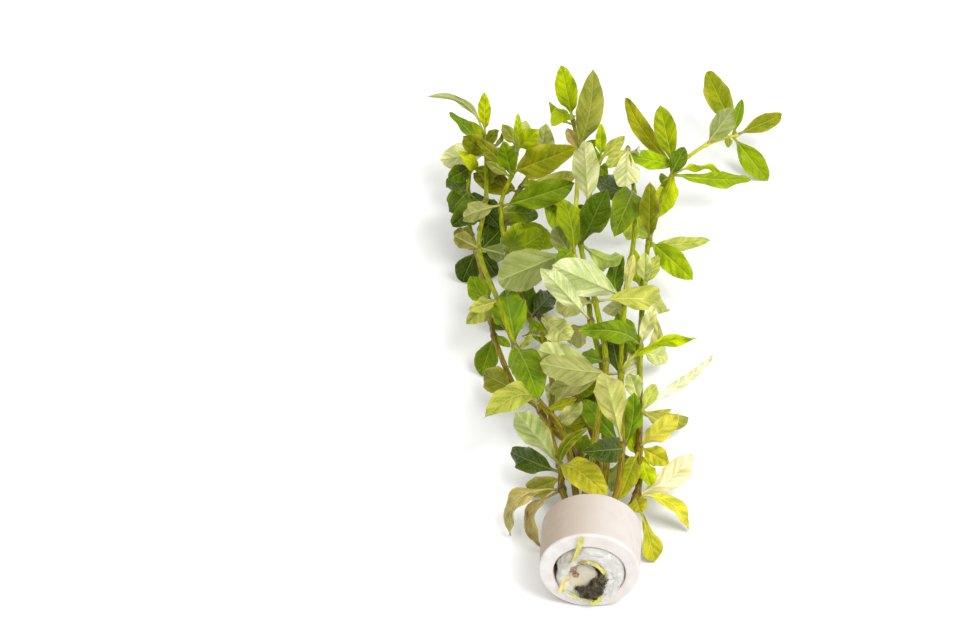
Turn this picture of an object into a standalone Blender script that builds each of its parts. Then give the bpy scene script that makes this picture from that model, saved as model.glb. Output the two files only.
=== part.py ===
"""A bunch of dwarf hygrophila lying on a surface, its cut stems held by mineral wool in a ceramic ring.

Metres, +Z up, the surface at z = 0, the ring at the front (-Y) and the growing tips at the back.
The layout of stems and leaves is drawn in one view, from above and in front: a place is a column and a
row of that view and either a height above the surface or a real length from where the leaf grows.
"""

import itertools
import math
from collections import namedtuple

import bmesh
import bpy
from mathutils import Matrix, Vector
from mathutils.bvhtree import BVHTree

MM = 0.001

# Driving dimensions of the ring and what it holds
RING_DIAMETER = 30 * MM
RING_BORE = 21.4 * MM
BORE_DROP = 1.0 * MM
RING_LENGTH = 18 * MM
RING_EDGE = 0.8 * MM
RING_YAW = math.radians(4)
WOOL_DEPTH = 0.9 * MM
WOOL_BULGE = 1.1 * MM
WOOL_CENTRE_SHARE = 0.7
STRIP_WIDTH = 1.4 * MM
STRIP_THICKNESS = 0.35 * MM
GAP = 0.35 * MM

# Places and sizes on the ring's front face, in millimetres across, up and out from its middle
CLUMP_PLACE = (1.2, -6.9, 0.6)
CLUMP_RADII = (3.7, 4.0, 1.7)
CLUMP_FREE_OUT = 0.6
CLUMP_REACH = 10.1
STRIP_ROUTE = ((-2.4, 14.2, 0.8), (-2.9, 12.2, 0.7), (-3.3, 10.2, 0.7), (-4.1, 7.4, 0.75), (-5.5, 4.6, 0.6))

# Driving dimensions of the plant
STEM_RADIUS = 1.1 * MM
TIP_RADIUS = 0.65 * MM
JOINT_SWELLING = 1.4
JOINT_HALF_LENGTH = 1.6 * MM
LEAF_THICKNESS = 0.6 * MM
LEAF_FOLD = 0.2
PETIOLE_WIDTH = 1.0 * MM
PETIOLE_SHARE = 0.06
BLADE_FULLNESS = 0.7
TIP_WIDTH = 0.5 * MM
LOWEST_TIP = 0.5 * MM
PAIR_SPACING = 2.4 * MM
BUD_LENGTH = 1.6 * MM
ROOTED_SHARE = 0.3

# How finely the pieces are made
RING_STEPS = 26
SHARP_ANGLE = math.radians(30)
WOOL_SIDES = 20
CLUMP_DETAIL = 2
STEM_SIDES = 5
CHANNEL_SIDES = 6
LONG_SPAN = 26 * MM
SHORT_SPAN = 11 * MM
CHANNEL_SECTIONS = 5
CHANNEL_GAP = 1.6 * GAP
LEAF_SHARES = (0, 0.1, 0.28, 0.56, 0.82, 1)
JOINED_SHARES = (0, 0.22, 0.62, 1)

# How far a leaf may be moved to be clear of its neighbours, smallest moves first
MARGIN = 0.25 * MM
SHORTEST = 0.7
LONGEST = 1.25
LEAST_SPREAD = 0.25
SAME_STEM_WEIGHT = 0.001
SLIDE_STEP = 1.5 * MM
LIFT_STEP = 1.2 * MM
TURN_STEP = 14
SWING_STEP = 30
Move = namedtuple("Move", "slide lift turn swing")
STEPS = sorted(
    itertools.product(range(-8, 9), range(-3, 4), range(-2, 3), range(-2, 3)),
    key=lambda steps: sum(map(abs, steps)),
)
MOVES = [Move(a * SLIDE_STEP, b * LIFT_STEP, c * TURN_STEP, d * SWING_STEP) for a, b, c, d in STEPS]

Blade = namedtuple("Blade", "base bend tip normal width widest")
Obstacle = namedtuple("Obstacle", "tree low high owner")
Laid = namedtuple("Laid", "name stem shape loops")

# The view that the layout is drawn in
VIEW_COLUMNS = 960
VIEW_ROWS = 640
VIEW_FOCAL = 2400
LOOK_DOWN = math.radians(39.7)
FACE_DISTANCE = 711 * MM
FACE_COLUMN = 589.5
FACE_ROW = 571.3

LOOK = Vector((0, math.cos(LOOK_DOWN), -math.sin(LOOK_DOWN)))
VIEW_UP = Vector((0, math.sin(LOOK_DOWN), math.cos(LOOK_DOWN)))
VIEW_RIGHT = Vector((1, 0, 0))
UP = Vector((0, 0, 1))
RING_AXIS = Vector((math.sin(RING_YAW), math.cos(RING_YAW), 0))
RING_ACROSS = Vector((RING_AXIS.y, -RING_AXIS.x, 0))
RING_CENTRE = Vector((0, 0, RING_DIAMETER / 2))


def sight(column, row):
    """The direction in which the view sees a place, one metre deep along the line of view."""
    across = (column - VIEW_COLUMNS / 2) / VIEW_FOCAL
    up = (VIEW_ROWS / 2 - row) / VIEW_FOCAL
    return LOOK + VIEW_RIGHT * across + VIEW_UP * up


RING_FACE = RING_CENTRE - RING_AXIS * RING_LENGTH / 2
EYE = RING_FACE - sight(FACE_COLUMN, FACE_ROW) * FACE_DISTANCE


def seen(column, row, height):
    """The point at a height above the surface, in metres, that the view shows at a column and a row."""
    ray = sight(column, row)
    return EYE + ray * ((height - EYE.z) / ray.z)


# The layout. A stem is a list of places from the ring to its growing tip. Bore is a place in the ring, in
# millimetres across and up from its centre. Seen is a bend, and Joint is a place where leaves grow.
# A leaf is given by where its tip is seen, whether the tip leans to the eye or away from it, its real
# length and width in millimetres, its colour, its turn in degrees about its length (0 shows its upper side,
# 180 its underside), how far it arches and sways in millimetres, and the share of its length where it is
# widest. A joined leaf, which is small, young or hidden, is one piece with its stem.
Bore = namedtuple("Bore", "across up cut")
Seen = namedtuple("Seen", "column row height")
Joint = namedtuple("Joint", "column row height leaves")
Leaf = namedtuple("Leaf", "column row lean length width turn arch sway widest tone joined shares")

NEAR = -1
FAR = 1


def leaf(column, row, lean, length, width, tone, turn=0, arch=2, sway=0, widest=0.54):
    return Leaf(column, row, lean, length, width, turn, arch, sway, widest, tone, False, LEAF_SHARES)


def joined(column, row, lean, length, width, tone, turn=0, arch=1, sway=0, widest=0.54):
    return Leaf(column, row, lean, length, width, turn, arch, sway, widest, tone, True, JOINED_SHARES)


STEMS = {
    # low on the left, brown near the ring
    "a": [
        Bore(-4.9, -0.3, 0.1),
        Joint(562, 489, 14, [
            leaf(511, 536, FAR, 36, 8.5, "olive", turn=50, arch=9),
            leaf(544, 551, FAR, 34, 8, "olive", turn=60, arch=8),
        ]),
        Joint(560, 466, 16, [
            leaf(515, 412, NEAR, 31, 9, "pale", turn=165),
            leaf(607, 497, NEAR, 27, 10, "yellow", turn=-20, arch=4),
            joined(588, 429, NEAR, 16, 3.5, "bright", sway=-3),
            leaf(511, 452, FAR, 26, 8, "dark"),
            joined(527, 492, FAR, 20, 7, "olive"),
        ]),
        Joint(541, 412, 15.5, [
            leaf(484, 418, NEAR, 30, 10.5, "pale", turn=50, arch=8),
            joined(577, 399, FAR, 16, 3.5, "pale"),
            joined(518, 424, FAR, 18, 7, "dark"),
        ]),
        Joint(516, 389, 14, [
            joined(484, 374, FAR, 18, 9, "olive"),
        ]),
        Joint(494, 336, 13, [
            joined(511, 347, NEAR, 9, 3, "green"),
            joined(481, 376, FAR, 24, 8, "dark"),
        ]),
        Joint(489, 302, 12, [
            leaf(466, 324, NEAR, 24, 8, "bright", arch=4),
            joined(505, 330, FAR, 18, 8, "dark"),
            joined(470, 276, NEAR, 14, 8, "bright"),
        ]),
        Joint(476, 250, 12, [
            joined(462, 282, FAR, 26, 9, "dark"),
            joined(496, 276, FAR, 24, 8, "dark"),
            joined(458, 228, FAR, 18, 7, "olive"),
            joined(503, 227, FAR, 20, 9, "dark"),
        ]),
        Seen(468, 218, 12),
        Joint(468, 192, 13, [
            joined(449, 212, NEAR, 26, 9, "olive"),
            joined(500, 228, NEAR, 30, 10, "dark"),
            joined(450, 177, FAR, 18, 8, "dark"),
        ]),
        Joint(470, 168, 14, [
            joined(448, 180, NEAR, 14, 7, "green"),
            joined(500, 172, NEAR, 22, 8, "olive"),
            joined(458, 150, NEAR, 12, 5, "bright"),
        ]),
    ],
    # green, in front on the left
    "b": [
        Bore(-3, -6.5, 6.5),
        Seen(566, 440, 13),
        Seen(534, 394, 23),
        Joint(515, 347, 24, [
            leaf(539, 400, NEAR, 28, 11.5, "green", arch=4),
            leaf(505, 290, FAR, 32, 12, "green"),
            joined(532, 335, NEAR, 9, 2.5, "bright"),
        ]),
        Joint(498, 301, 26, [
            joined(468, 310, NEAR, 14, 4.5, "pale"),
        ]),
        Joint(479, 249, 24, [
            joined(455, 236, NEAR, 14, 6, "pale", turn=180),
            joined(504, 254, NEAR, 16, 6.5, "pale", turn=180),
        ]),
        Joint(486, 200, 18, [
            joined(452, 226, NEAR, 28, 9, "green"),
        ]),
        Joint(486, 150, 20, [
            leaf(511, 170, NEAR, 24, 8, "olive"),
            joined(449, 112, NEAR, 19, 4.5, "bright", turn=30),
            joined(463, 136, NEAR, 16, 8, "bright"),
            joined(440, 160, NEAR, 16, 10, "pale", turn=175),
        ]),
        Joint(485, 136, 22, [
            leaf(484, 92, NEAR, 20, 4.8, "bright", widest=0.62),
            leaf(426, 97, FAR, 26, 2.8, "pale", turn=160, arch=3, sway=-5.2, widest=0.5),
            joined(503, 128, NEAR, 11, 2.5, "pale", turn=60, arch=4),
            joined(464, 122, NEAR, 12, 6, "green"),
            joined(499, 130, NEAR, 10, 5, "olive"),
        ]),
    ],
    # behind the green one
    "c": [
        Bore(-1, -3, 6),
        Joint(580, 456, 10, [
            joined(587, 434, NEAR, 12, 5, "green"),
            joined(602, 440, NEAR, 13, 4, "bright"),
            joined(568, 436, FAR, 16, 7, "dark"),
            joined(604, 470, FAR, 16, 6, "dark"),
        ]),
        Joint(553, 428, 9.5, [
            joined(582, 401, NEAR, 16, 6, "olive", turn=30),
            joined(588, 421, FAR, 16, 6, "pale"),
        ]),
        Seen(552, 380, 8),
        Joint(543, 337, 10, [
            joined(524, 336, NEAR, 14, 5, "pale", turn=120),
        ]),
        Joint(529, 317, 11, [
            joined(553, 292, FAR, 26, 8, "dark"),
            joined(546, 345, NEAR, 14, 5, "green"),
            joined(531, 281, FAR, 18, 8, "dark"),
        ]),
        Joint(508, 256, 17, [
            leaf(521, 222, NEAR, 22, 9, "bright", arch=3),
            joined(545, 232, FAR, 22, 9, "dark"),
        ]),
        Joint(501, 206, 24, [
            leaf(464, 217, NEAR, 27, 7, "pale", turn=170),
            leaf(575, 183, NEAR, 27, 9.5, "green", turn=10),
            joined(538, 214, FAR, 20, 8, "green"),
        ]),
        Joint(513, 172, 26.5, [
            leaf(577, 147, NEAR, 30, 11, "olive", widest=0.42),
            joined(478, 140, FAR, 22, 5, "olive"),
            joined(503, 141, NEAR, 18, 7, "green"),
            joined(486, 162, NEAR, 12, 3.5, "pale"),
        ]),
        Joint(518, 145, 28, [
            joined(518, 113, NEAR, 13, 2.8, "bright"),
            joined(502, 124, NEAR, 13, 5, "yellow"),
            joined(538, 129, NEAR, 14, 7.5, "pale"),
            joined(526, 120, FAR, 16, 8, "pale", turn=20),
            joined(506, 152, NEAR, 12, 6, "green"),
        ]),
    ],
    # lowest, in the middle
    "d": [
        Bore(4, -6.5, 7),
        Seen(597, 450, 7),
        Joint(570, 385, 7, [
            joined(600, 430, FAR, 26, 9, "bright"),
            joined(548, 402, FAR, 26, 9, "olive"),
            joined(598, 384, NEAR, 14, 7, "dark"),
        ]),
        Joint(541, 318, 7, [
            joined(571, 340, NEAR, 30, 9, "green"),
            joined(519, 300, FAR, 26, 8, "dark"),
        ]),
        Seen(510, 258, 9),
        Joint(505, 222, 13, [
            joined(556, 246, NEAR, 20, 9, "olive"),
            joined(480, 236, NEAR, 14, 8, "dark"),
            joined(520, 206, NEAR, 12, 8, "dark"),
        ]),
        Joint(521, 187, 18, [
            leaf(559, 238, NEAR, 30, 9, "olive", turn=-50, arch=6),
            joined(569, 214, NEAR, 28, 8, "bright", turn=-40, arch=5),
            joined(473, 173, FAR, 20, 9, "olive"),
            joined(577, 173, FAR, 22, 7, "pale"),
        ]),
        Joint(541, 160, 22, [
            leaf(546, 123, NEAR, 20, 8, "olive"),
            joined(528, 140, NEAR, 12, 5, "bright"),
            joined(560, 152, NEAR, 12, 5, "yellow"),
        ]),
    ],
    # tall in the middle, light green with a brown tip
    "e": [
        Bore(1, 1.5, 4),
        Seen(606, 470, 18),
        Seen(603, 415, 17),
        Joint(603, 372, 18, [
            leaf(537, 350, NEAR, 29, 9, "pale", turn=175),
            joined(580, 430, FAR, 28, 9, "dark"),
            joined(548, 391, FAR, 24, 7, "olive"),
        ]),
        Joint(591, 321, 20, [
            leaf(541, 268, NEAR, 28, 7.5, "pale", turn=175),
            joined(569, 343, FAR, 24, 8, "pale"),
        ]),
        Seen(588, 300, 21),
        Joint(573, 251, 25, [
            leaf(498, 281, NEAR, 34, 14, "pale", turn=178, widest=0.6),
            joined(555, 264, NEAR, 20, 6, "bright"),
            joined(553, 226, NEAR, 17, 7, "pale", turn=170),
            joined(563, 200, FAR, 28, 9, "dark"),
        ]),
        Seen(574, 230, 26),
        Seen(577, 190, 28),
        Joint(578, 150, 30, [
            leaf(593, 69, NEAR, 32, 9.5, "olive", sway=1.5, widest=0.5),
            joined(567, 128, NEAR, 9, 4, "green"),
            joined(597, 140, NEAR, 9, 4, "green"),
        ]),
        Joint(573, 120, 32, [
            leaf(561, 65, NEAR, 24, 8, "bright", widest=0.58),
            leaf(551, 126, NEAR, 18, 7.5, "bright", turn=45, arch=5),
            joined(549, 101, FAR, 11, 4, "yellow", turn=40),
            joined(588, 111, NEAR, 11, 3.5, "bright", turn=-50, arch=4),
        ]),
    ],
    # beside it on the right
    "f": [
        Bore(-2.5, 5, 4),
        Seen(591, 470, 22),
        Seen(598, 420, 23),
        Joint(606, 362, 24, [
            joined(582, 356, FAR, 16, 6, "green"),
        ]),
        Joint(595, 301, 25, [
            leaf(667, 309, FAR, 30, 9.5, "pale", turn=-25, arch=4),
            joined(556, 309, FAR, 26, 8, "pale"),
        ]),
        Joint(581, 245, 26, [
            leaf(607, 189, NEAR, 30, 10, "dark", widest=0.58),
            leaf(622, 257, NEAR, 26, 7.5, "pale", turn=150, arch=4, sway=-1),
        ]),
        Joint(588, 203, 28, [
            leaf(584, 140, NEAR, 31, 9.5, "pale", turn=180, widest=0.42),
            joined(560, 226, FAR, 24, 9, "dark"),
        ]),
        Seen(594, 178, 28),
        Joint(601, 158, 29, [
            joined(601, 123, NEAR, 16, 4, "bright"),
            joined(625, 136, NEAR, 14, 5, "olive"),
            joined(586, 168, NEAR, 8, 3, "bright"),
            joined(588, 143, FAR, 10, 3.5, "green"),
            joined(608, 175, NEAR, 10, 5, "olive"),
        ]),
    ],
    # straight, right of the middle
    "g": [
        Bore(3.5, 5, 4),
        Seen(617, 492, 22),
        Joint(622, 444, 22, [
            leaf(604, 373, NEAR, 30, 9.5, "pale", turn=175, widest=0.6),
            joined(583, 400, FAR, 30, 8, "green"),
            joined(582, 452, NEAR, 28, 8, "bright", arch=4),
            joined(634, 392, FAR, 28, 7, "green"),
            joined(612, 492, FAR, 26, 6, "pale"),
        ]),
        Joint(621, 373, 22, [
            leaf(540, 363, NEAR, 31, 10.5, "pale", turn=175, widest=0.58),
            leaf(699, 338, NEAR, 32, 3.8, "bright", turn=30, sway=-5.5, widest=0.7),
            joined(611, 335, FAR, 26, 9, "dark"),
            joined(636, 336, FAR, 26, 8, "dark"),
        ]),
        Joint(625, 298, 23, [
            leaf(552, 265, NEAR, 29, 12, "silver", turn=180, widest=0.58),
            joined(633, 254, NEAR, 16, 3.5, "pale", turn=180),
            joined(624, 256, FAR, 17, 6, "dark", sway=-3),
            joined(602, 311, FAR, 16, 6, "pale"),
        ]),
        Seen(634, 237, 25),
        Joint(634, 192, 27, [
            leaf(614, 237, NEAR, 26, 11, "green", arch=5, widest=0.48),
            leaf(640, 238, FAR, 26, 12, "bright", arch=4),
            joined(597, 181, FAR, 30, 9, "dark"),
        ]),
        Joint(628, 148, 29, [
            leaf(626, 187, NEAR, 26, 9.5, "silver", turn=180, arch=5),
            joined(605, 168, NEAR, 12, 5, "pale"),
            joined(637, 150, NEAR, 6, 3.5, "pale"),
        ]),
    ],
    # on the right, ends in the cluster at the far right
    "h": [
        Bore(7, 0, 4),
        Joint(637, 494, 13, [
            leaf(692, 453, FAR, 27, 7.8, "cream", sway=1.6, widest=0.5),
            leaf(689, 531, FAR, 26, 5.8, "yellow", turn=-40, arch=4, sway=-1.8),
            joined(655, 562, FAR, 25, 7, "bright", turn=-25, arch=2, sway=0.3, widest=0.78),
            joined(641, 513, NEAR, 13, 6.5, "yellow"),
        ]),
        Joint(639, 447, 16, [
            joined(679, 413, NEAR, 22, 7, "yellow", turn=20),
            joined(669, 463, NEAR, 20, 6.5, "bright"),
            joined(619, 499, NEAR, 26, 6.5, "pale"),
            joined(651, 487, NEAR, 18, 6, "bright"),
            joined(626, 418, FAR, 18, 6, "pale"),
            joined(624, 456, FAR, 14, 6, "green"),
        ]),
        Joint(640, 404, 16, [
            leaf(714, 354, FAR, 33, 3.4, "white", sway=1.6, widest=0.4),
            joined(630, 373, NEAR, 14, 6, "pale"),
            joined(689, 418, FAR, 21, 6, "green", sway=2.5),
            joined(672, 409, FAR, 15, 3.5, "yellow", sway=2),
            joined(656, 384, FAR, 12, 4.5, "green"),
        ]),
        Joint(640, 346, 16, [
            leaf(578, 331, NEAR, 30, 7.5, "green", turn=-20, arch=4, sway=3),
            joined(655, 303, NEAR, 18, 4.5, "pale"),
            joined(668, 358, FAR, 17, 7, "pale"),
            joined(655, 316, NEAR, 15, 4, "pale", sway=4),
            joined(618, 312, FAR, 20, 8, "dark"),
        ]),
        Joint(644, 285, 16, [
            joined(645, 252, NEAR, 14, 5.5, "pale"),
            joined(658, 255, FAR, 14, 5, "pale"),
            joined(634, 248, FAR, 16, 6, "green"),
        ]),
        Joint(649, 241, 18, [
            leaf(650, 182, NEAR, 25, 7, "olive"),
            leaf(693, 280, NEAR, 24, 8.5, "bright"),
            joined(711, 240, FAR, 26, 5, "pale", turn=20),
        ]),
        Seen(662, 200, 19),
        Joint(677, 168, 19, [
            joined(625, 157, NEAR, 25, 7, "bright", turn=20),
            leaf(626, 97, FAR, 33, 6.5, "olive", sway=-2),
            leaf(660, 105, NEAR, 25, 8, "bright", widest=0.62),
            leaf(657, 218, NEAR, 24, 8, "yellow"),
            leaf(751, 179, FAR, 30, 6, "yellow", turn=20),
            joined(722, 172, NEAR, 18, 4, "bright", turn=40),
            joined(685, 147, FAR, 10, 6, "dark"),
            joined(660, 182, NEAR, 9, 5.5, "dark"),
        ]),
        Joint(706, 145, 16, [
            joined(733, 108, NEAR, 17, 9, "olive", turn=160),
        ]),
        Joint(737, 135, 12, [
            leaf(707, 72, FAR, 30, 9.5, "olive"),
            leaf(782, 115, FAR, 19, 6.5, "olive"),
            leaf(768, 181, FAR, 24, 8.5, "bright"),
            joined(742, 99, NEAR, 13, 4, "green"),
            joined(728, 148, NEAR, 6, 3, "yellow"),
        ]),
    ],
}

TONES = {
    "bright": (0.30, 0.52, 0.03),
    "green": (0.16, 0.35, 0.02),
    "dark": (0.05, 0.14, 0.01),
    "olive": (0.24, 0.28, 0.03),
    "pale": (0.55, 0.62, 0.25),
    "silver": (0.68, 0.72, 0.45),
    "yellow": (0.62, 0.60, 0.05),
    "cream": (0.80, 0.76, 0.42),
    "white": (0.84, 0.86, 0.66),
}


# Scene and mesh helpers


def clear_scene():
    for old in list(bpy.data.objects):
        bpy.data.objects.remove(old, do_unlink=True)


def finish(name, colour, roughness):
    """A plain material with one colour."""
    made = bpy.data.materials.new(name)
    made.use_nodes = True
    shader = made.node_tree.nodes["Principled BSDF"]
    shader.inputs["Base Color"].default_value = (*colour, 1)
    shader.inputs["Roughness"].default_value = roughness
    shader.inputs["Metallic"].default_value = 0
    return made


def add_piece(name, mesh, material, holder, group=None):
    """An object that is one piece, or with a group, a shape that is only joined to a piece or cut from it."""
    mesh.materials.append(material)
    piece = bpy.data.objects.new(name, mesh)
    (group or bpy.context.scene.collection).objects.link(piece)
    piece.parent = holder
    if group:
        piece.hide_render = True
        piece.display_type = "WIRE"
    return piece


def helper_group(name):
    """A collection of shapes that are joined to a piece or cut from it."""
    group = bpy.data.collections.new(name)
    bpy.context.scene.collection.children.link(group)
    group.hide_render = True
    return group


def combine(piece, group, operation):
    """Joins the shapes of a group to a piece, or cuts them from it."""
    change = piece.modifiers.new(group.name, "BOOLEAN")
    change.operand_type = "COLLECTION"
    change.collection = group
    change.operation = operation
    change.material_mode = "TRANSFER"


def skin_faces(rows, sides):
    """The faces over rows of points, each row a loop with so many sides, with a cap at each end."""
    faces = [tuple(reversed(range(sides))), tuple(range((rows - 1) * sides, rows * sides))]
    for row, side in itertools.product(range(rows - 1), range(sides)):
        start = row * sides
        after = (side + 1) % sides
        faces.append((start + side, start + after, start + sides + after, start + sides + side))
    return faces


def skin(name, loops):
    """The closed mesh over a row of loops."""
    points = [point for loop in loops for point in loop]
    mesh = bpy.data.meshes.new(name)
    mesh.from_pydata(points, [], skin_faces(len(loops), len(loops[0])))
    return mesh


def tube_loops(sections, sides):
    """Loops of points round a row of (point, radius), turned as little as possible from one to the next."""
    loops = []
    side = VIEW_RIGHT
    for index, (point, radius) in enumerate(sections):
        before = sections[max(index - 1, 0)][0]
        after = sections[min(index + 1, len(sections) - 1)][0]
        along = (after - before).normalized()
        side = (side - along * side.dot(along)).normalized()
        other = along.cross(side)
        loop = []
        for step in range(sides):
            angle = math.tau * step / sides
            loop.append(point + (side * math.cos(angle) + other * math.sin(angle)) * radius)
        loops.append(loop)
    return loops


# The ring and what it holds


def face_point(across, up, out):
    """A point measured in millimetres from the middle of the ring's front face, out towards the viewer."""
    return RING_FACE + (RING_ACROSS * across + UP * up - RING_AXIS * out) * MM


def ring_profile():
    """A rectangle with rounded corners, as (radius, distance along the axis), turned to make the ring."""
    points = []
    inner = RING_BORE / 2
    outer = RING_DIAMETER / 2
    half = RING_LENGTH / 2
    for radius, along, inward, back in (
        (outer, half, -1, -1), (outer, -half, -1, 1), (inner, -half, 1, 1), (inner, half, 1, -1)
    ):
        cut = [
            (radius + inward * RING_EDGE, along),
            (radius + inward * RING_EDGE * 0.3, along + back * RING_EDGE * 0.3),
            (radius, along + back * RING_EDGE),
        ]
        points += cut if inward == back else cut[::-1]
    return points


def ring_mesh(name):
    """The ring, its profile spun round its axis from the lowest line, on which it lies."""
    mesh = bpy.data.meshes.new(name)
    ring = bmesh.new()
    places = [RING_CENTRE - UP * radius + RING_AXIS * along for radius, along in ring_profile()]
    corners = [ring.verts.new(place) for place in places]
    outline = [ring.edges.new(pair) for pair in zip(corners, corners[1:] + corners[:1])]
    bmesh.ops.spin(
        ring, geom=corners + outline, cent=RING_CENTRE, axis=RING_AXIS, angle=math.tau, steps=RING_STEPS,
        use_merge=True, use_duplicate=False
    )
    for corner in ring.verts:
        away = corner.co - RING_CENTRE
        if (away - RING_AXIS * away.dot(RING_AXIS)).length < (RING_DIAMETER + RING_BORE) / 4:
            corner.co -= UP * BORE_DROP
    bmesh.ops.recalc_face_normals(ring, faces=ring.faces)
    ring.to_mesh(mesh)
    ring.free()
    mesh.shade_smooth()
    mesh.set_sharp_from_angle(angle=SHARP_ANGLE)
    return mesh


def wool_sections():
    """The wool's outline along the ring's axis: it fills the bore and bulges a little at its two ends."""
    radius = RING_BORE / 2 - GAP
    front = RING_LENGTH / 2 - WOOL_DEPTH
    back = RING_LENGTH / 2 - GAP
    outline = (
        (-front - WOOL_BULGE, radius * WOOL_CENTRE_SHARE),
        (-front, radius * 0.97),
        (-front + WOOL_BULGE, radius),
        (back - WOOL_BULGE, radius),
        (back, radius * 0.9),
    )
    return [(RING_CENTRE - UP * BORE_DROP + RING_AXIS * along, size) for along, size in outline]


def clump_mesh(name, grow):
    """The lump of roots, its surface raised and sunk by waves, that hangs out of the bore over the rim.
    grow makes the pocket that it lies in."""
    mesh = bpy.data.meshes.new(name)
    lump = bmesh.new()
    bmesh.ops.create_icosphere(lump, subdivisions=CLUMP_DETAIL, radius=1)
    for corner in lump.verts:
        rough = 1 + 0.1 * math.sin(5 * corner.co.x + 2) * math.cos(4 * corner.co.y)
        rough += 0.06 * math.sin(7 * corner.co.z)
        across, up, out = (
            place + share * rough * (radius + grow / MM)
            for place, share, radius in zip(CLUMP_PLACE, corner.co, CLUMP_RADII)
        )
        reach = math.hypot(across, up)
        if out < CLUMP_FREE_OUT:
            across, up = (way * min(1, (CLUMP_REACH + grow / MM) / reach) for way in (across, up))
        corner.co = face_point(across, up, out)
    lump.to_mesh(mesh)
    lump.free()
    return mesh


def strip_loops():
    """The flat strip of old leaf, from the ring's front rim down to the wool."""
    loops = []
    points = [face_point(*spot) for spot in STRIP_ROUTE]
    for index, point in enumerate(points):
        along = (points[min(index + 1, len(points) - 1)] - points[max(index - 1, 0)]).normalized()
        thick = along.cross(RING_ACROSS).normalized() * STRIP_THICKNESS / 2
        edge = along.cross(thick).normalized() * STRIP_WIDTH / 2
        loops.append([point - edge + thick, point + edge + thick, point + edge - thick, point - edge - thick])
    return loops


# The stems


def place(spot):
    """The point in space of one entry of a stem. A stem's first entry is its cut end in the ring."""
    if isinstance(spot, Bore):
        return face_point(spot.across, spot.up, -spot.cut)
    return seen(spot.column, spot.row, spot.height * MM)


def stem_route(spots):
    """The points that a stem goes through: its cut end, its way out of the ring, then its places."""
    way_out = face_point(spots[0].across, spots[0].up, -RING_LENGTH / MM)
    return [place(spots[0]), way_out] + [place(spot) for spot in spots[1:]]


def curve_point(route, span, share):
    """A point of the smooth curve through a route, some share of the way along one span."""
    before = route[max(span - 1, 0)]
    start = route[span]
    end = route[span + 1]
    after = route[min(span + 2, len(route) - 1)]
    leave = (end - before) / 2
    arrive = (after - start) / 2
    square = share * share
    cube = square * share
    return (
        start * (2 * cube - 3 * square + 1)
        + leave * (cube - 2 * square + share)
        + end * (3 * square - 2 * cube)
        + arrive * (cube - square)
    )


def stem_radius(along, spans):
    """The stem's radius some spans along it, for it grows thinner to its tip."""
    return STEM_RADIUS + (TIP_RADIUS - STEM_RADIUS) * along / spans


def stem_sections(spots):
    """The cross-sections along a stem, as (point, radius), thicker at each joint."""
    route = stem_route(spots)
    spans = len(route) - 1
    joints = {index + 1 for index, spot in enumerate(spots) if isinstance(spot, Joint)}
    sections = []
    for span in range(spans):
        length = (route[span + 1] - route[span]).length
        near = min(JOINT_HALF_LENGTH / length, 0.3)
        shares = {0: span in joints}
        if length > LONG_SPAN:
            shares |= {0.36: False, 0.68: False}
        elif length > SHORT_SPAN:
            shares |= {0.5: False}
        if span in joints:
            shares[near] = False
        if span + 1 in joints:
            shares[1 - near] = False
        for share in sorted(shares):
            radius = stem_radius(span + share, spans) * (JOINT_SWELLING if shares[share] else 1)
            sections.append((curve_point(route, span, share), radius))
    bud = (route[-1] - route[-2]).normalized() * BUD_LENGTH
    return sections + [(route[-1], TIP_RADIUS * JOINT_SWELLING), (route[-1] + bud, TIP_RADIUS / 2)]


def stem_direction(spots, index):
    """The way a stem runs at one of its joints."""
    route = stem_route(spots)
    return (route[min(index + 2, len(route) - 1)] - route[index]).normalized()


def channel_loops(spots):
    """The way through the wool of one stem, a little wider than the stem."""
    sections = [(point, radius + CHANNEL_GAP) for point, radius in stem_sections(spots)[:CHANNEL_SECTIONS]]
    first, radius = sections[0]
    return tube_loops([(first - RING_AXIS * GAP, radius)] + sections[1:], CHANNEL_SIDES)


# The leaves


def half_width(share, width, widest):
    """Half of the blade's width at a share of its length: a thin stalk, a full oval and a fine tip."""
    stalk = max(PETIOLE_WIDTH * (1 - share), TIP_WIDTH) / 2
    if share <= PETIOLE_SHARE:
        return stalk
    along = (share - PETIOLE_SHARE) / (1 - PETIOLE_SHARE)
    shift = math.log(0.5) / math.log(widest)
    oval = max(math.sin(math.pi * along**shift), 0) ** BLADE_FULLNESS
    return max(stalk, width / 2 * oval)


def lay_blade(shape, joint, along_stem, out, move):
    """Where a leaf lies: its tip on its line of sight at its real length, slid along that line by move.slide,
    its arch made higher, its turn changed and its base swung round the stem. out is the distance of its
    base from the middle of the stem."""
    ray = sight(shape.column, shape.row).normalized()
    nearest = EYE + ray * (joint - EYE).dot(ray)
    missing = (nearest - joint).length
    reach = math.sqrt(max((shape.length * MM) ** 2 - missing**2, 0))
    tip = nearest + ray * (shape.lean * reach + move.slide)
    if tip.z < LOWEST_TIP:
        tip = seen(shape.column, shape.row, LOWEST_TIP)
    chord = (tip - joint).normalized()
    facing = (chord * ray.dot(chord) - ray).normalized()
    right = chord.cross(facing)
    turn = math.radians(shape.turn + move.turn)
    normal = facing * math.cos(turn) + right * math.sin(turn)
    across = right * math.cos(turn) - facing * math.sin(turn)
    outward = chord - along_stem * chord.dot(along_stem)
    if outward.length < LEAST_SPREAD:
        outward = facing - along_stem * facing.dot(along_stem)
    outward = Matrix.Rotation(math.radians(move.swing), 3, along_stem) @ outward.normalized()
    base = joint + outward * out
    bend = (base + tip) / 2 + normal * 2 * (shape.arch * MM + move.lift) + across * 2 * shape.sway * MM
    return Blade(base, bend, tip, normal, shape.width * MM, shape.widest)


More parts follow.
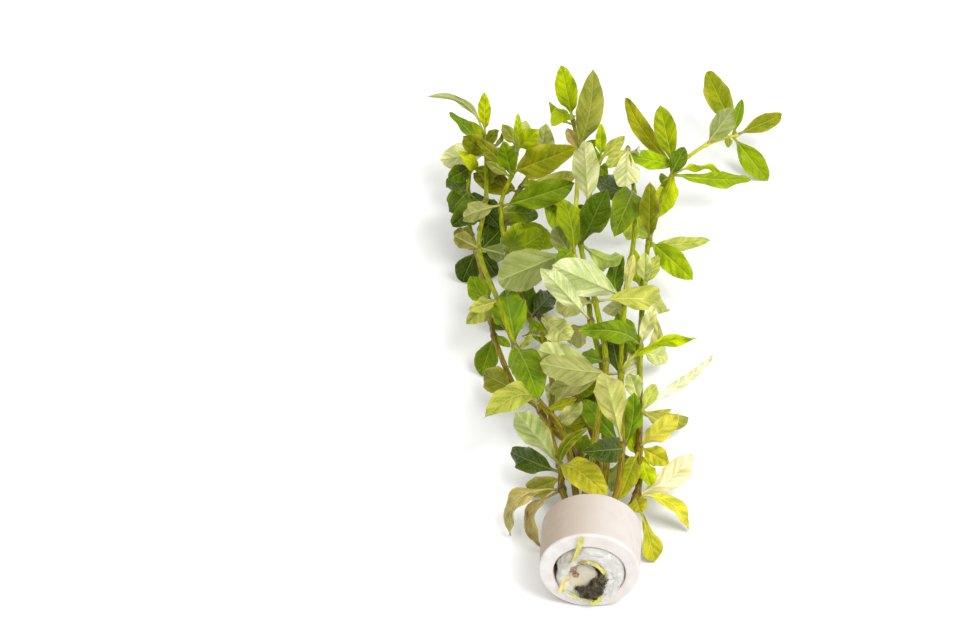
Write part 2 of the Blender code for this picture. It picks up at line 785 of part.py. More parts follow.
def blade_loops(blade, shares, margin=0):
    """Four-sided cross-sections of a leaf: two edges, and the midrib's upper and lower side."""
    loops = []
    for share in shares:
        rest = 1 - share
        point = blade.base * rest**2 + blade.bend * (2 * share * rest) + blade.tip * share**2
        along = ((blade.bend - blade.base) * rest + (blade.tip - blade.bend) * share).normalized()
        normal = (blade.normal - along * blade.normal.dot(along)).normalized()
        across = along.cross(normal)
        half = half_width(share, blade.width, blade.widest)
        edge = across * (half + margin)
        fold = normal * (half * LEAF_FOLD / 2)
        thick = normal * (LEAF_THICKNESS * (1 - 0.5 * share) / 2 + margin)
        middle = point - fold
        loops.append([point - edge + fold, middle + thick, point + edge + fold, middle - thick])
    return loops


def obstacle(points, faces, owner=None):
    """Something that leaves keep clear of. owner is the stem that it is one piece with."""
    low = Vector(map(min, zip(*points)))
    high = Vector(map(max, zip(*points)))
    return Obstacle(BVHTree.FromPolygons(points, faces), low, high, owner)


def obstacle_of(loops, owner=None):
    """The obstacle that a row of loops makes when it is skinned."""
    return obstacle([point for loop in loops for point in loop], skin_faces(len(loops), len(loops[0])), owner)


def within(thing, middle, reach):
    """Whether something comes within reach of a point along every axis."""
    return all(
        thing.low[axis] - reach < middle[axis] < thing.high[axis] + reach for axis in range(3)
    )


def settle(shape, joint, along_stem, out, stem, placed):
    """Moves a leaf as little as needed to be clear of all that is placed."""
    name, own_tube = stem
    reach = LONGEST * shape.length * MM
    things = [thing for thing in placed if within(thing, joint, reach) and thing.owner != (name, "stem")]
    best = None
    for move in MOVES:
        blade = lay_blade(shape, joint, along_stem, out, move)
        length = (blade.tip - blade.base).length / (shape.length * MM)
        if move.slide and not SHORTEST < length < LONGEST:
            continue
        fat = blade_loops(blade, shape.shares, MARGIN)
        body = obstacle_of(fat)
        touched = 0
        for thing in things:
            weight = SAME_STEM_WEIGHT if shape.joined and thing.owner == (name, "leaf") else 1
            touched += weight * len(body.tree.overlap(thing.tree))
        if not shape.joined:
            touched += len(obstacle_of(blade_loops(blade, shape.shares)).tree.overlap(own_tube.tree))
        if body.low.z < 0:
            touched += 1
        if best is None or touched < best[0]:
            best = (touched, blade)
        if not touched:
            break
    return best[1]


def lay_out(fixed):
    """The stems, and every leaf in its place, clear of the stems, of what is fixed and of other leaves.
    The leaves that are pieces of their own come first, so that the small joined ones make way for them."""
    tubes = {name: tube_loops(stem_sections(spots), STEM_SIDES) for name, spots in STEMS.items()}
    tube_obstacles = {name: obstacle_of(loops, (name, "stem")) for name, loops in tubes.items()}
    placed = list(fixed) + list(tube_obstacles.values())
    leaves = []
    for joined_ones in (False, True):
        for name, spots in STEMS.items():
            for index, spot in enumerate(spots):
                if not isinstance(spot, Joint):
                    continue
                direction = stem_direction(spots, index)
                radius = stem_radius(index + 1, len(spots)) * JOINT_SWELLING
                for number, shape in enumerate(spot.leaves):
                    if shape.joined != joined_ones:
                        continue
                    joint = place(spot) - direction * (number // 2) * PAIR_SPACING
                    out = radius * ROOTED_SHARE if shape.joined else radius + GAP
                    stem = (name, tube_obstacles[name])
                    blade = settle(shape, joint, direction, out, stem, placed)
                    loops = blade_loops(blade, shape.shares)
                    placed.append(obstacle_of(loops, (name, "leaf") if shape.joined else None))
                    leaves.append(Laid(f"leaf_{name}{index}_{number + 1}", name, shape, loops))
    return tubes, leaves


def main():
    clear_scene()
    holder = bpy.data.objects.new("bunch", None)
    bpy.context.scene.collection.objects.link(holder)

    ceramic = finish("ceramic", (0.80, 0.76, 0.72), 0.8)
    ring = ring_mesh("ceramic_ring")
    add_piece("ceramic_ring", ring, ceramic, holder)

    white = finish("wool", (0.85, 0.86, 0.80), 0.95)
    wool = add_piece("wool_plug", skin("wool_plug", tube_loops(wool_sections(), WOOL_SIDES)), white, holder)
    channels = helper_group("wool_channels")
    for name, spots in STEMS.items():
        add_piece(f"channel_{name}", skin(f"channel_{name}", channel_loops(spots)), white, holder, channels)
    add_piece("clump_pocket", clump_mesh("clump_pocket", GAP * 1.2), white, holder, channels)
    combine(wool, channels, "DIFFERENCE")

    brown = finish("roots", (0.06, 0.045, 0.02), 0.9)
    add_piece("root_clump", clump_mesh("root_clump", 0), brown, holder)
    yellow = finish("old_leaf", (0.62, 0.62, 0.12), 0.7)
    add_piece("leaf_strip", skin("leaf_strip", strip_loops()), yellow, holder)

    ring_points = [corner.co for corner in ring.vertices]
    tubes, leaves = lay_out([obstacle(ring_points, [tuple(face.vertices) for face in ring.polygons])])
    green = finish("stem", (0.35, 0.38, 0.06), 0.55)
    tones = {tone: finish(f"leaf_{tone}", colour, 0.5) for tone, colour in TONES.items()}
    groups = {}
    for name, loops in tubes.items():
        stem = add_piece(f"stem_{name}", skin(f"stem_{name}", loops), green, holder)
        groups[name] = helper_group(f"leaves_joined_to_{name}")
        combine(stem, groups[name], "UNION")
    for laid in leaves:
        group = groups[laid.stem] if laid.shape.joined else None
        add_piece(laid.name, skin(laid.name, laid.loops), tones[laid.shape.tone], holder, group)

    solid = [piece for piece in holder.children if piece.name not in channels.objects]
    corners = [corner.co for piece in solid for corner in piece.data.vertices]
    low = Vector(map(min, zip(*corners)))
    high = Vector(map(max, zip(*corners)))
    holder.location = (-(low.x + high.x) / 2, -(low.y + high.y) / 2, -low.z)


main()
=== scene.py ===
import itertools
import math
from collections import namedtuple

import bmesh
import bpy
from mathutils import Matrix, Vector
from mathutils.bvhtree import BVHTree
from mathutils.noise import noise


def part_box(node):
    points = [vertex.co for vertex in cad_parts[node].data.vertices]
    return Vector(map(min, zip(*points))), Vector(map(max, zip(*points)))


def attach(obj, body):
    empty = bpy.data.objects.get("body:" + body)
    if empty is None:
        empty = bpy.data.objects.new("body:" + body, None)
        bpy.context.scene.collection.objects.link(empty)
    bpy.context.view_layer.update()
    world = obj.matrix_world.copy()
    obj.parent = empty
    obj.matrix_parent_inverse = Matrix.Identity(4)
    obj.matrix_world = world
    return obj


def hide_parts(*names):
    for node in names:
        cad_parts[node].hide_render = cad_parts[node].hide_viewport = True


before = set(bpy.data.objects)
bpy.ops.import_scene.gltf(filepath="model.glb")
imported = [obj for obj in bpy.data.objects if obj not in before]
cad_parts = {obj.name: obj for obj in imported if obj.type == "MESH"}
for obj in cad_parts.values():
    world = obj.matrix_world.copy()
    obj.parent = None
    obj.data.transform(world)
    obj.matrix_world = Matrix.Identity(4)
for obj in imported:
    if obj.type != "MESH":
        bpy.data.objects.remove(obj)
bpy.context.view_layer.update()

# The ceramic ring: a short thick tube of off-white unglazed ceramic that weighs the bunch down, pressed and
# fired in one piece, so it is rounded, pitted and a little uneven. All is laid out from the point of the
# surface that is right under the ring's centre, and moved to the ring's place when done.
MM = 0.001
UP = Vector((0, 0, 1))
RING_DIAMETER = 30 * MM
RING_BORE = 21.4 * MM
RING_LENGTH = 18 * MM
RING_EDGE = 0.7 * MM
RING_YAW = math.radians(4)
RING_AXIS = Vector((math.sin(RING_YAW), math.cos(RING_YAW), 0))
RING_ACROSS = Vector((RING_AXIS.y, -RING_AXIS.x, 0))
RING_CENTRE = Vector((0, 0, RING_DIAMETER / 2))
RING_FACE = RING_CENTRE - RING_AXIS * RING_LENGTH / 2
BORE_DROP = 1.0 * MM
RING_SIDES = 180
RING_UNEVEN = 0.14 * MM
RING_PITTED = 0.05 * MM
SMEAR_PLACE = (-9.4, -3.9, 0.0)

ring_low, ring_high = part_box("ceramic_ring")
HOME = Matrix.Translation(((ring_low.x + ring_high.x) / 2, (ring_low.y + ring_high.y) / 2, 0))


class Field:
    """A value in a node tree that may differ from place to place. Sums with it add the nodes for them."""

    def __init__(self, socket):
        self.socket = socket
        self.tree = socket.id_data

    def other(self, output):
        """Another output of the same node."""
        return Field(self.socket.node.outputs[output])

    def __add__(self, value):
        return maths("ADD", self, value)

    def __sub__(self, value):
        return maths("SUBTRACT", self, value)

    def __rsub__(self, value):
        return maths("SUBTRACT", value, self)

    def __mul__(self, value):
        return maths("MULTIPLY", self, value)

    def __truediv__(self, value):
        return maths("DIVIDE", self, value)

    def __pow__(self, value):
        return maths("POWER", self, value)

    def __gt__(self, value):
        return maths("GREATER_THAN", self, value)

    def __abs__(self):
        return maths("ABSOLUTE", self)


def tree_of(*values):
    """The node tree that the first field of some values is in."""
    return next(value.tree for value in values if isinstance(value, Field))


def fill(node, inputs):
    """Sets a node's inputs, each by its name or number, to a value or a field."""
    for key, value in dict(inputs).items():
        if isinstance(value, Field):
            node.id_data.links.new(value.socket, node.inputs[key])
        else:
            node.inputs[key].default_value = value


def add(tree, kind, inputs=(), output=0, **settings):
    """An output of a new node, whose settings and inputs are given."""
    node = tree.nodes.new(kind)
    for name, value in settings.items():
        setattr(node, name, value)
    fill(node, inputs)
    return Field(node.outputs[output])


def maths(operation, *values):
    """What an operation gives on fields and numbers, or on vectors where one of them is a vector."""
    tree = tree_of(*values)
    if not any(isinstance(value, Field) and value.socket.type == "VECTOR" for value in values):
        return add(tree, "ShaderNodeMath", enumerate(values), operation=operation)
    if operation == "MULTIPLY":
        return add(tree, "ShaderNodeVectorMath", {0: values[0], "Scale": values[1]}, operation="SCALE")
    output = "Value" if operation in ("DOT_PRODUCT", "LENGTH", "DISTANCE") else "Vector"
    return add(tree, "ShaderNodeVectorMath", enumerate(values), output, operation=operation)


def placed(x, y, z):
    """A vector from its three parts."""
    return add(tree_of(x, y, z), "ShaderNodeCombineXYZ", {0: x, 1: y, 2: z})


def fade(value, start, end):
    """A mask that goes smoothly from 0 where the value is start to 1 where it is end."""
    inputs = {"Value": value, "From Min": start, "From Max": end}
    return add(value.tree, "ShaderNodeMapRange", inputs, interpolation_type="SMOOTHSTEP")


def cloud(place, size, detail=2, distortion=0):
    """Soft noise from 0 to 1 whose patches are about so large, in the units of the place."""
    inputs = {"Vector": place, "Scale": 1 / size, "Detail": detail, "Distortion": distortion}
    return add(place.tree, "ShaderNodeTexNoise", inputs)


def mixed(mask, first, second, blend="MIX"):
    """The first colour where the mask is 0 and the second where it is 1."""
    one, two = (colour if isinstance(colour, Field) else (*colour, 1) for colour in (first, second))
    tree = tree_of(mask, first, second)
    return add(tree, "ShaderNodeMix", {0: mask, 6: one, 7: two}, 2, data_type="RGBA", blend_type=blend)


def new_material(name):
    """A material, its shader, and the place on the object as a field."""
    made = bpy.data.materials.new(name)
    made.use_nodes = True
    shader = made.node_tree.nodes["Principled BSDF"]
    return made, shader, add(made.node_tree, "ShaderNodeTexCoord", output="Object")


def raise_surface(shader, height, distance, strength=1.0):
    """Lets a shader's surface look raised where a height is greater."""
    inputs = {"Height": height, "Distance": distance, "Strength": strength}
    fill(shader, {"Normal": add(height.tree, "ShaderNodeBump", inputs)})


def on_face(place):
    """How far a place is across, up and in from the middle of the ring's front face, in millimetres."""
    away = (place - tuple(HOME @ RING_FACE)) * (1 / MM)
    return [maths("DOT_PRODUCT", away, tuple(way)) for way in (RING_ACROSS, UP, RING_AXIS)]


def put_home(name, mesh, slot, *nodes):
    """The finished piece: a mesh moved to the ring's place, riding on the row's one body."""
    mesh.transform(HOME)
    piece = bpy.data.objects.new(name, mesh)
    bpy.context.scene.collection.objects.link(piece)
    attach(piece, "root")
    if nodes:
        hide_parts(*nodes)
    return piece


def rounded_outline(inner, outer, length, edge):
    """The ring's wall cut lengthwise, as (radius, distance along the axis), with an arc at each corner."""
    points = []
    half = length / 2
    corners = ((outer, half, 0), (outer, -half, 1), (inner, -half, 2), (inner, half, 3))
    for number, (radius, along, turn) in enumerate(corners):
        inward = -1 if radius == outer else 1
        back = -1 if along > 0 else 1
        middle = (radius + inward * edge, along + back * edge)
        for step in range(7):
            angle = math.pi / 2 * (1 - turn - step / 6)
            points.append((middle[0] + math.cos(angle) * edge, middle[1] + math.sin(angle) * edge))
        end = corners[(number + 1) % 4]
        start_point = points[-1]
        run = (length if radius == end[0] else outer - inner) - 2 * edge
        way = Vector((end[0] - radius, end[1] - along)).normalized()
        for step in range(1, int(run / MM)):
            share = step / int(run / MM)
            points.append((start_point[0] + way.x * run * share, start_point[1] + way.y * run * share))
    return points


def uneven(place, size, depth):
    """How far a place on a surface is moved by bumps of a size and a depth."""
    return noise(place / size) * depth


def ring_loop(radius, along):
    """One circle of the ring, its surface moved in and out a little, and no lower than the floor."""
    loop = []
    for step in range(RING_SIDES):
        angle = math.tau * step / RING_SIDES
        out = RING_ACROSS * math.cos(angle) + UP * math.sin(angle)
        point = RING_CENTRE + out * radius + RING_AXIS * along
        point += out * (uneven(point, 7 * MM, RING_UNEVEN) + uneven(point, 1.1 * MM, RING_PITTED))
        point -= UP * BORE_DROP * min(1, (RING_DIAMETER / 2 - radius) / (RING_DIAMETER / 2 - RING_BORE / 2))
        point += RING_AXIS * uneven(point + UP, 5 * MM, RING_UNEVEN)
        loop.append(Vector((point.x, point.y, max(point.z, 0))))
    return loop


def closed_turning(name, loops):
    """The mesh over loops of points whose last loop joins the first, as on a ring."""
    mesh = bpy.data.meshes.new(name)
    sides = len(loops[0])
    faces = []
    for row, side in itertools.product(range(len(loops)), range(sides)):
        one = row * sides
        two = (row + 1) % len(loops) * sides
        after = (side + 1) % sides
        faces.append((one + side, two + side, two + after, one + after))
    mesh.from_pydata([point for loop in loops for point in loop], [], faces)
    tidy = bmesh.new()
    tidy.from_mesh(mesh)
    bmesh.ops.recalc_face_normals(tidy, faces=tidy.faces)
    tidy.to_mesh(mesh)
    tidy.free()
    mesh.shade_smooth()
    return mesh


def ceramic_material():
    """Matte off-white ceramic, tan and darker along its side and most at the left, partly stain and partly
    painted shade on the side away from the key light, with faint pink and bluish patches, small pits, painted
    shade round the bore's edge where the wool meets it, and a brown mark low on the left of the bore."""
    made, shader, place = new_material("unglazed_ceramic")
    across, up, depth = on_face(place)
    colour = mixed(fade(cloud(place, 5 * MM, 3), 0.3, 0.7), (0.66, 0.61, 0.57), (0.73, 0.70, 0.67))
    colour = mixed(fade(cloud(place, 2.6 * MM, 3), 0.56, 0.72), colour, (0.69, 0.65, 0.67))
    # The side: tan, and darker towards the left, partly stain and partly painted shade away from the key
    # light.
    side = mixed(fade(across, 13.0, -13.0), (0.62, 0.57, 0.53), (0.41, 0.33, 0.25))
    side = mixed(fade(cloud(place, 4 * MM, 4), 0.4, 0.8) * 0.4, side, (0.50, 0.42, 0.36))
    colour = mixed(fade(depth, 0.1, 1.1), colour, side)
    # Painted shade: darker inside the bore and in a band 0.3 mm wide round its edge, where the wool meets the
    # ring.
    from_bore = maths("LENGTH", placed(across, up + BORE_DROP / MM, 0.0)) - RING_BORE / 2 / MM
    colour = mixed(fade(from_bore, 0.3, 0.0) * 0.8, colour, (0.55, 0.44, 0.34))
    specks = add(place.tree, "ShaderNodeTexVoronoi", {"Vector": place, "Scale": 1 / (1.3 * MM)}, "Distance")
    pits = fade(specks, 0.16, 0.08) * fade(cloud(place, 2.2 * MM, 1), 0.55, 0.65)
    colour = mixed(pits * 0.3, colour, (0.40, 0.30, 0.22))
    near = fade(maths("DISTANCE", placed(across, up, 0.0), SMEAR_PLACE), 1.3, 0.3)
    smears = near * fade(cloud(place, 0.8 * MM, 3), 0.38, 0.58)
    colour = mixed(smears * 0.6, colour, (0.45, 0.33, 0.24))
    grain = cloud(place, 0.35 * MM, 3)
    fill(shader, {"Base Color": colour, "Roughness": grain * 0.25 + 0.66, "Specular IOR Level": 0.3})
    raise_surface(shader, grain - pits, 0.05 * MM, 0.7)
    return made


ring_outline = rounded_outline(RING_BORE / 2, RING_DIAMETER / 2, RING_LENGTH, RING_EDGE)
ring = closed_turning("tube", [ring_loop(radius, along) for radius, along in ring_outline])
ring.materials.append(ceramic_material())
put_home("pressed_ring", ring, "ceramic", "ceramic_ring")

# The wool: a strip of white mineral wool rolled round the stems and pushed into the ring. It is flush with
# the ring's face and spills over the bore's lower edge. It has shrunk off the bore at the left, where a dark
# gap shows, and has a hollow in which soft rotted tissue is left, with a trench round its upper right whose
# near black colour is painted shade.
WOOL_RIM = -0.9
WOOL_FRONT = 0.35
WOOL_ROUNDING = 0.13
WOOL_SPILL = 1.1 * MM
WOOL_SIDES = 180
WOOL_FRONT_ROWS = 50
WOOL_SHRUNK = ((3.14, 0.33, 1.2 * MM), (0.05, 0.35, 0.35 * MM))
WOOL_BACK = RING_LENGTH - 1.2 * MM
WOOL_LAYER = 2.3
HOLLOW_PLACE = (-1.4, -2.9)
HOLLOW_RADII = (5.2, 5.7)
HOLLOW_DEPTH = 1.1
TRENCH_WAY = (0.77, 0.64)
TRENCH_DEPTH = 1.3
TISSUE_PLACE = (-2.1, -3.5)
TISSUE_RADII = (5.0, 5.7)
THREAD_SIDES = 3


def face_point(across, up, out):
    """A point measured in millimetres from the middle of the ring's front face, out towards the viewer."""
    return RING_FACE + (RING_ACROSS * across + UP * up - RING_AXIS * out) * MM


def skin_faces(rows, sides, capped=True):
    """The faces over rows of points, each row a loop with so many sides, with a cap at each end or open."""
    last = (rows - 1) * sides
    faces = [tuple(reversed(range(sides))), tuple(range(last, last + sides))] if capped else []
    for row, side in itertools.product(range(rows - 1), range(sides)):
        start = row * sides
        after = (side + 1) % sides
        faces.append((start + side, start + after, start + sides + after, start + sides + side))
    return faces


def skin(name, loops, capped=True):
    """The mesh over a row of loops of points."""
    mesh = bpy.data.meshes.new(name)
    faces = skin_faces(len(loops), len(loops[0]), capped)
    mesh.from_pydata([point for loop in loops for point in loop], [], faces)
    mesh.shade_smooth()
    return mesh


def grown(name, source, tree, values):
    """The plain mesh that a Geometry Nodes tree makes from a source mesh, its named inputs set."""
    holder = bpy.data.objects.new(name, source)
    bpy.context.scene.collection.objects.link(holder)
    change = holder.modifiers.new(tree.name, "NODES")
    change.node_group = tree
    for socket in tree.interface.items_tree:
        if socket.in_out == "INPUT" and socket.name in values:
            change[socket.identifier] = values[socket.name]
    bpy.context.view_layer.update()
    graph = bpy.context.evaluated_depsgraph_get()
    made = bpy.data.meshes.new_from_object(holder.evaluated_get(graph), depsgraph=graph)
    made.name = name
    holder.modifiers.remove(change)
    bpy.data.objects.remove(holder, do_unlink=True)
    return made


def new_growth(name, **inputs):
    """A Geometry Nodes tree with a geometry input and named inputs, and all of them as fields."""
    tree = bpy.data.node_groups.new(name, "GeometryNodeTree")
    kinds = {"float": "NodeSocketFloat", "int": "NodeSocketInt", "material": "NodeSocketMaterial"}
    tree.interface.new_socket("Geometry", in_out="INPUT", socket_type="NodeSocketGeometry")
    for label, kind in inputs.items():
        tree.interface.new_socket(label, in_out="INPUT", socket_type=kinds[kind])
    tree.interface.new_socket("Geometry", in_out="OUTPUT", socket_type="NodeSocketGeometry")
    sockets = tree.nodes.new("NodeGroupInput").outputs
    return tree, {label: Field(sockets[label]) for label in ("Geometry", *inputs)}


def end_growth(geometry, material):
    """Ends a tree with plain geometry in its material."""
    tree = geometry.tree
    plain = add(tree, "GeometryNodeRealizeInstances", {0: geometry})
    dressed = add(tree, "GeometryNodeSetMaterial", {"Geometry": plain, "Material": material})
    fill(tree.nodes.new("NodeGroupOutput"), {0: dressed})


def thread_tree():
    """Scatters bent threads over a mesh, each lying along the surface with its ends in it."""
    tree, given = new_growth(
        "threads", density="float", length="float", thickness="float", height="float", seed="int",
        material="material"
    )
    points = add(tree, "GeometryNodeDistributePointsOnFaces", {
        "Mesh": given["Geometry"], "Density": given["density"], "Seed": given["seed"]
    }, "Points")
    half = given["length"] * 0.5
    sunk = given["height"] * -0.6
    line = add(tree, "GeometryNodeCurveQuadraticBezier", {
        "Resolution": 7, "Start": placed(half * -1, 0.0, sunk), "End": placed(half, 0.0, sunk),
        "Middle": placed(0.0, given["length"] * 0.25, given["height"] * 2),
    })
    profile = add(tree, "GeometryNodeCurvePrimitiveCircle", {
        "Resolution": THREAD_SIDES, "Radius": given["thickness"]
    })
    thread = add(tree, "GeometryNodeCurveToMesh", {
        "Curve": line, "Profile Curve": profile, "Fill Caps": True
    })
    smooth = add(tree, "GeometryNodeSetShadeSmooth", {0: thread})
    turn = add(tree, "FunctionNodeRandomValue", {
        2: 0.0, 3: math.tau, "Seed": given["seed"]
    }, 1, data_type="FLOAT")
    spin = add(tree, "FunctionNodeAxisAngleToRotation", {"Axis": (0, 0, 1), "Angle": turn})
    turned = add(tree, "FunctionNodeRotateRotation", {
        "Rotation": points.other("Rotation"), "Rotate By": spin
    }, rotation_space="LOCAL")
    stretch = add(tree, "FunctionNodeRandomValue", {
        0: (0.5, 0.4, 0.3), 1: (1.5, 1.6, 1.6), "Seed": given["seed"]
    }, data_type="FLOAT_VECTOR")
    threads = add(tree, "GeometryNodeInstanceOnPoints", {
        "Points": points, "Instance": smooth, "Rotation": turned, "Scale": stretch
    })
    end_growth(threads, given["material"])
    return tree


def smooth_mesh(name, made):
    """The smooth mesh of something made with mesh tools."""
    mesh = bpy.data.meshes.new(name)
    made.to_mesh(mesh)
    made.free()
    mesh.shade_smooth()
    return mesh


def gathered(name, *meshes):
    """One mesh made of several."""
    whole = bmesh.new()
    for mesh in meshes:
        whole.from_mesh(mesh)
    return smooth_mesh(name, whole)


def eased(value, start, end):
    """0 where a value is start, 1 where it is end, and smooth between."""
    share = min(1, max(0, (value - start) / (end - start)))
    return share * share * (3 - 2 * share)


def wool_spill(angle):
    """How much the wool spills over the bore's edge, 1 at the bottom and 0 at the top."""
    return eased(math.cos(angle + math.pi / 2), 0.45, 0.8)


def wool_radius(angle, front):
    """How far the wool reaches from the axis: to the bore, or less where it has shrunk, or over the edge."""
    reach = RING_BORE / 2 - 0.12 * MM
    for middle, spread, depth in WOOL_SHRUNK:
        away = math.remainder(angle - middle, math.tau)
        reach -= depth * math.exp(-((away / spread) ** 2))
    ragged = 1 + 0.5 * noise(Vector((math.cos(angle) * 9, math.sin(angle) * 9, 1)))
    return reach + (WOOL_SPILL * wool_spill(angle) * ragged if front else 0)


def wool_height(share, angle, point):
    """How far the front stands out from the ring's face, in millimetres."""
    spilled = wool_spill(angle)
    rim = WOOL_RIM * (1 - spilled) + 0.12 * spilled
    height = rim + (WOOL_FRONT - rim) * min(1, (1 - share) / WOOL_ROUNDING) ** 0.5
    place = [(point[way] / MM - HOLLOW_PLACE[way]) / HOLLOW_RADII[way] for way in (0, 1)]
    away = math.hypot(*place)
    facing = (place[0] * TRENCH_WAY[0] + place[1] * TRENCH_WAY[1]) / max(away, 0.01)
    height -= HOLLOW_DEPTH * eased(away, 1.04, 0.84)
    height -= TRENCH_DEPTH * math.exp(-(((away - 0.93) / 0.1) ** 2)) * eased(facing, -0.1, 0.6)
    turns = share * RING_BORE / 2 / MM / WOOL_LAYER - angle / math.tau + noise(point / (4 * MM)) * 0.4
    height += 0.13 * (abs(math.sin(math.pi * turns)) ** 0.6 - 0.7) * eased(away, 1.0, 1.2)
    return height + (uneven(point, 2.2 * MM, 0.22 * MM) + uneven(point, 0.7 * MM, 0.1 * MM)) / MM


def wool_loops():
    """The wool from the middle of its front out to the bore, back along it and in to the middle behind."""
    rows = [(math.sin(math.pi / 2 * step / WOOL_FRONT_ROWS), None) for step in range(1, WOOL_FRONT_ROWS + 1)]
    rows += [(1.0, depth) for depth in (3 * MM, 6 * MM, 10 * MM, 14 * MM)]
    rows += [(step / 12, WOOL_BACK) for step in range(12, 0, -1)]
    loops = []
    for share, depth in rows:
        loop = []
        for step in range(WOOL_SIDES):
            angle = -math.tau * step / WOOL_SIDES
            reach = wool_radius(angle, depth is None) * share / MM
            across = math.cos(angle) * reach
            up = math.sin(angle) * reach - BORE_DROP / MM
            point = Vector((across, up, 0)) * MM
            if depth is None:
                out = wool_height(share, angle, point)
            else:
                out = -depth / MM + uneven(point + UP, 2 * MM, 0.8 if share < 1 else 0)
            loop.append(face_point(across, up, out))
        loops.append(loop)
    return loops


def soften(shader, weight, radius, scale):
    """Lets light spread inside a soft piece."""
    fill(shader, {"Subsurface Weight": weight, "Subsurface Radius": radius, "Subsurface Scale": scale})


def wool_material():
    """Mineral wool: fine tangled fibres, bright white at the lower right and greyer and beige towards the
    upper left, with painted shade in the gaps between the fibres and near black painted shade in the trench."""
    made, shader, place = new_material("mineral_wool")
    across, up, depth = on_face(place)
    lower_right = across - up * 0.9 + (cloud(place, 2 * MM, 3) * 9.0 - 4.5)
    colour = mixed(fade(lower_right, -15.0, -5.0), (0.70, 0.64, 0.52), (1.0, 0.98, 0.93))
    colour = mixed(fade(cloud(place, 1.3 * MM, 3, 1), 0.6, 0.85), colour, (0.80, 0.77, 0.64))
    fibres = cloud(place, 0.2 * MM, 4, 2.5)
    # Painted shade: greyer in the gaps between the fibres, where their bumps are low.
    colour = mixed(fade(fibres, 0.6, 0.3) * 0.15, colour, (0.72, 0.70, 0.62))
    # Painted shade: the trench round the hollow's upper right is coloured near black.
    way = placed(
        (across - HOLLOW_PLACE[0]) / HOLLOW_RADII[0], (up - HOLLOW_PLACE[1]) / HOLLOW_RADII[1], 0.0
    )
    facing = maths("DOT_PRODUCT", maths("NORMALIZE", way), (*TRENCH_WAY, 0.0))
    trench = fade(maths("LENGTH", way), 1.12, 0.99) * fade(facing, -0.15, 0.4)
    colour = mixed(trench * 0.93, colour, (0.055, 0.038, 0.012))
    fill(shader, {"Base Color": colour, "Roughness": 0.95, "Specular IOR Level": 0.15})
    soften(shader, 0.4, (1.0, 1.0, 0.9), 0.8 * MM)
    raise_surface(shader, fibres, 0.1 * MM)
    return made


def tissue_mesh():
    """The soft tissue: a low dome that is a little uneven."""
    dome = bmesh.new()
    bmesh.ops.create_icosphere(dome, subdivisions=6, radius=1)
    for corner in dome.verts:
        rough = 1 + 0.05 * noise(corner.co * 3) + 0.015 * noise(corner.co * 12)
        spot = [TISSUE_PLACE[way] + corner.co[way] * rough * TISSUE_RADII[way] for way in (0, 1)]
        corner.co = face_point(*spot, -0.75 + 1.05 * rough * corner.co.z)
    return smooth_mesh("tissue", dome)


def tissue_material():
    """Rotted stem tissue: smooth, wet, grey-green, and yellower low on the left."""
    made, shader, place = new_material("rotted_tissue")
    across, up, depth = on_face(place)
    colour = mixed(fade(across + up * 1.2, -3.0, -13.0), (0.54, 0.50, 0.38), (0.68, 0.62, 0.38))
    colour = mixed(fade(cloud(place, 1.7 * MM, 4, 1), 0.5, 0.75), colour, (0.62, 0.59, 0.48))
    grain = cloud(place, 0.5 * MM, 3)
    colour = mixed(fade(grain, 0.62, 0.8), colour, (0.46, 0.38, 0.22))
    fill(shader, {"Base Color": colour, "Roughness": grain * 0.3 + 0.3})
    soften(shader, 0.3, (1.0, 0.9, 0.6), 1.0 * MM)
    raise_surface(shader, grain, 0.05 * MM, 0.6)
    return made


THREADS = thread_tree()
wool_white = wool_material()
wool_rows = wool_loops()
wool = skin("wool", wool_rows)
fibres = grown("fibres", skin("front", wool_rows[:WOOL_FRONT_ROWS - 1], capped=False), THREADS, {
    "density": 7.5e6, "length": 2.0 * MM, "thickness": 0.028 * MM, "height": 0.12 * MM, "seed": 5,
    "material": wool_white,
})
rolled = gathered("rolled_wool", wool, fibres)
rolled.materials.append(wool_white)
put_home("rolled_wool", rolled, "wool", "wool_plug")
tissue = tissue_mesh()
tissue.materials.append(tissue_material())
put_home("soft_tissue", tissue, "stem")

# The stems: eight soft water-grown cuttings, pushed into the wool side by side. Each is square with round
# corners, swells at its joints and is yellow-green, browner towards its cut end. They are drawn as the
# camera sees them: a place is a column and a row of the picture and a height above the surface.
STEM_RADIUS = 1.1 * MM
TIP_RADIUS = 0.65 * MM
JOINT_SWELLING = 1.4
JOINT_HALF_LENGTH = 1.6 * MM
BUD_LENGTH = 1.6 * MM
BUD_OUTLINE = ((0.35, 0.9), (0.7, 0.6), (1, 0.12))
PAIR_SPACING = 2.4 * MM
STEM_SIDES = 5
LONG_SPAN = 26 * MM
SHORT_SPAN = 11 * MM
STEM_STEP = 0.7 * MM
PICTURE_COLUMNS = 960
PICTURE_ROWS = 640
PICTURE_FOCAL = 2400
LOOK_DOWN = math.radians(39.7)
FACE_DISTANCE = 711 * MM
FACE_COLUMN = 589.5
FACE_ROW = 571.3
LOOK = Vector((0, math.cos(LOOK_DOWN), -math.sin(LOOK_DOWN)))
VIEW_UP = Vector((0, math.sin(LOOK_DOWN), math.cos(LOOK_DOWN)))
VIEW_RIGHT = Vector((1, 0, 0))


def sight(column, row):
    """The direction in which the camera sees a place, one metre deep along its line of view."""
    across = (column - PICTURE_COLUMNS / 2) / PICTURE_FOCAL
    up = (PICTURE_ROWS / 2 - row) / PICTURE_FOCAL
    return LOOK + VIEW_RIGHT * across + VIEW_UP * up


EYE = RING_FACE - sight(FACE_COLUMN, FACE_ROW) * FACE_DISTANCE


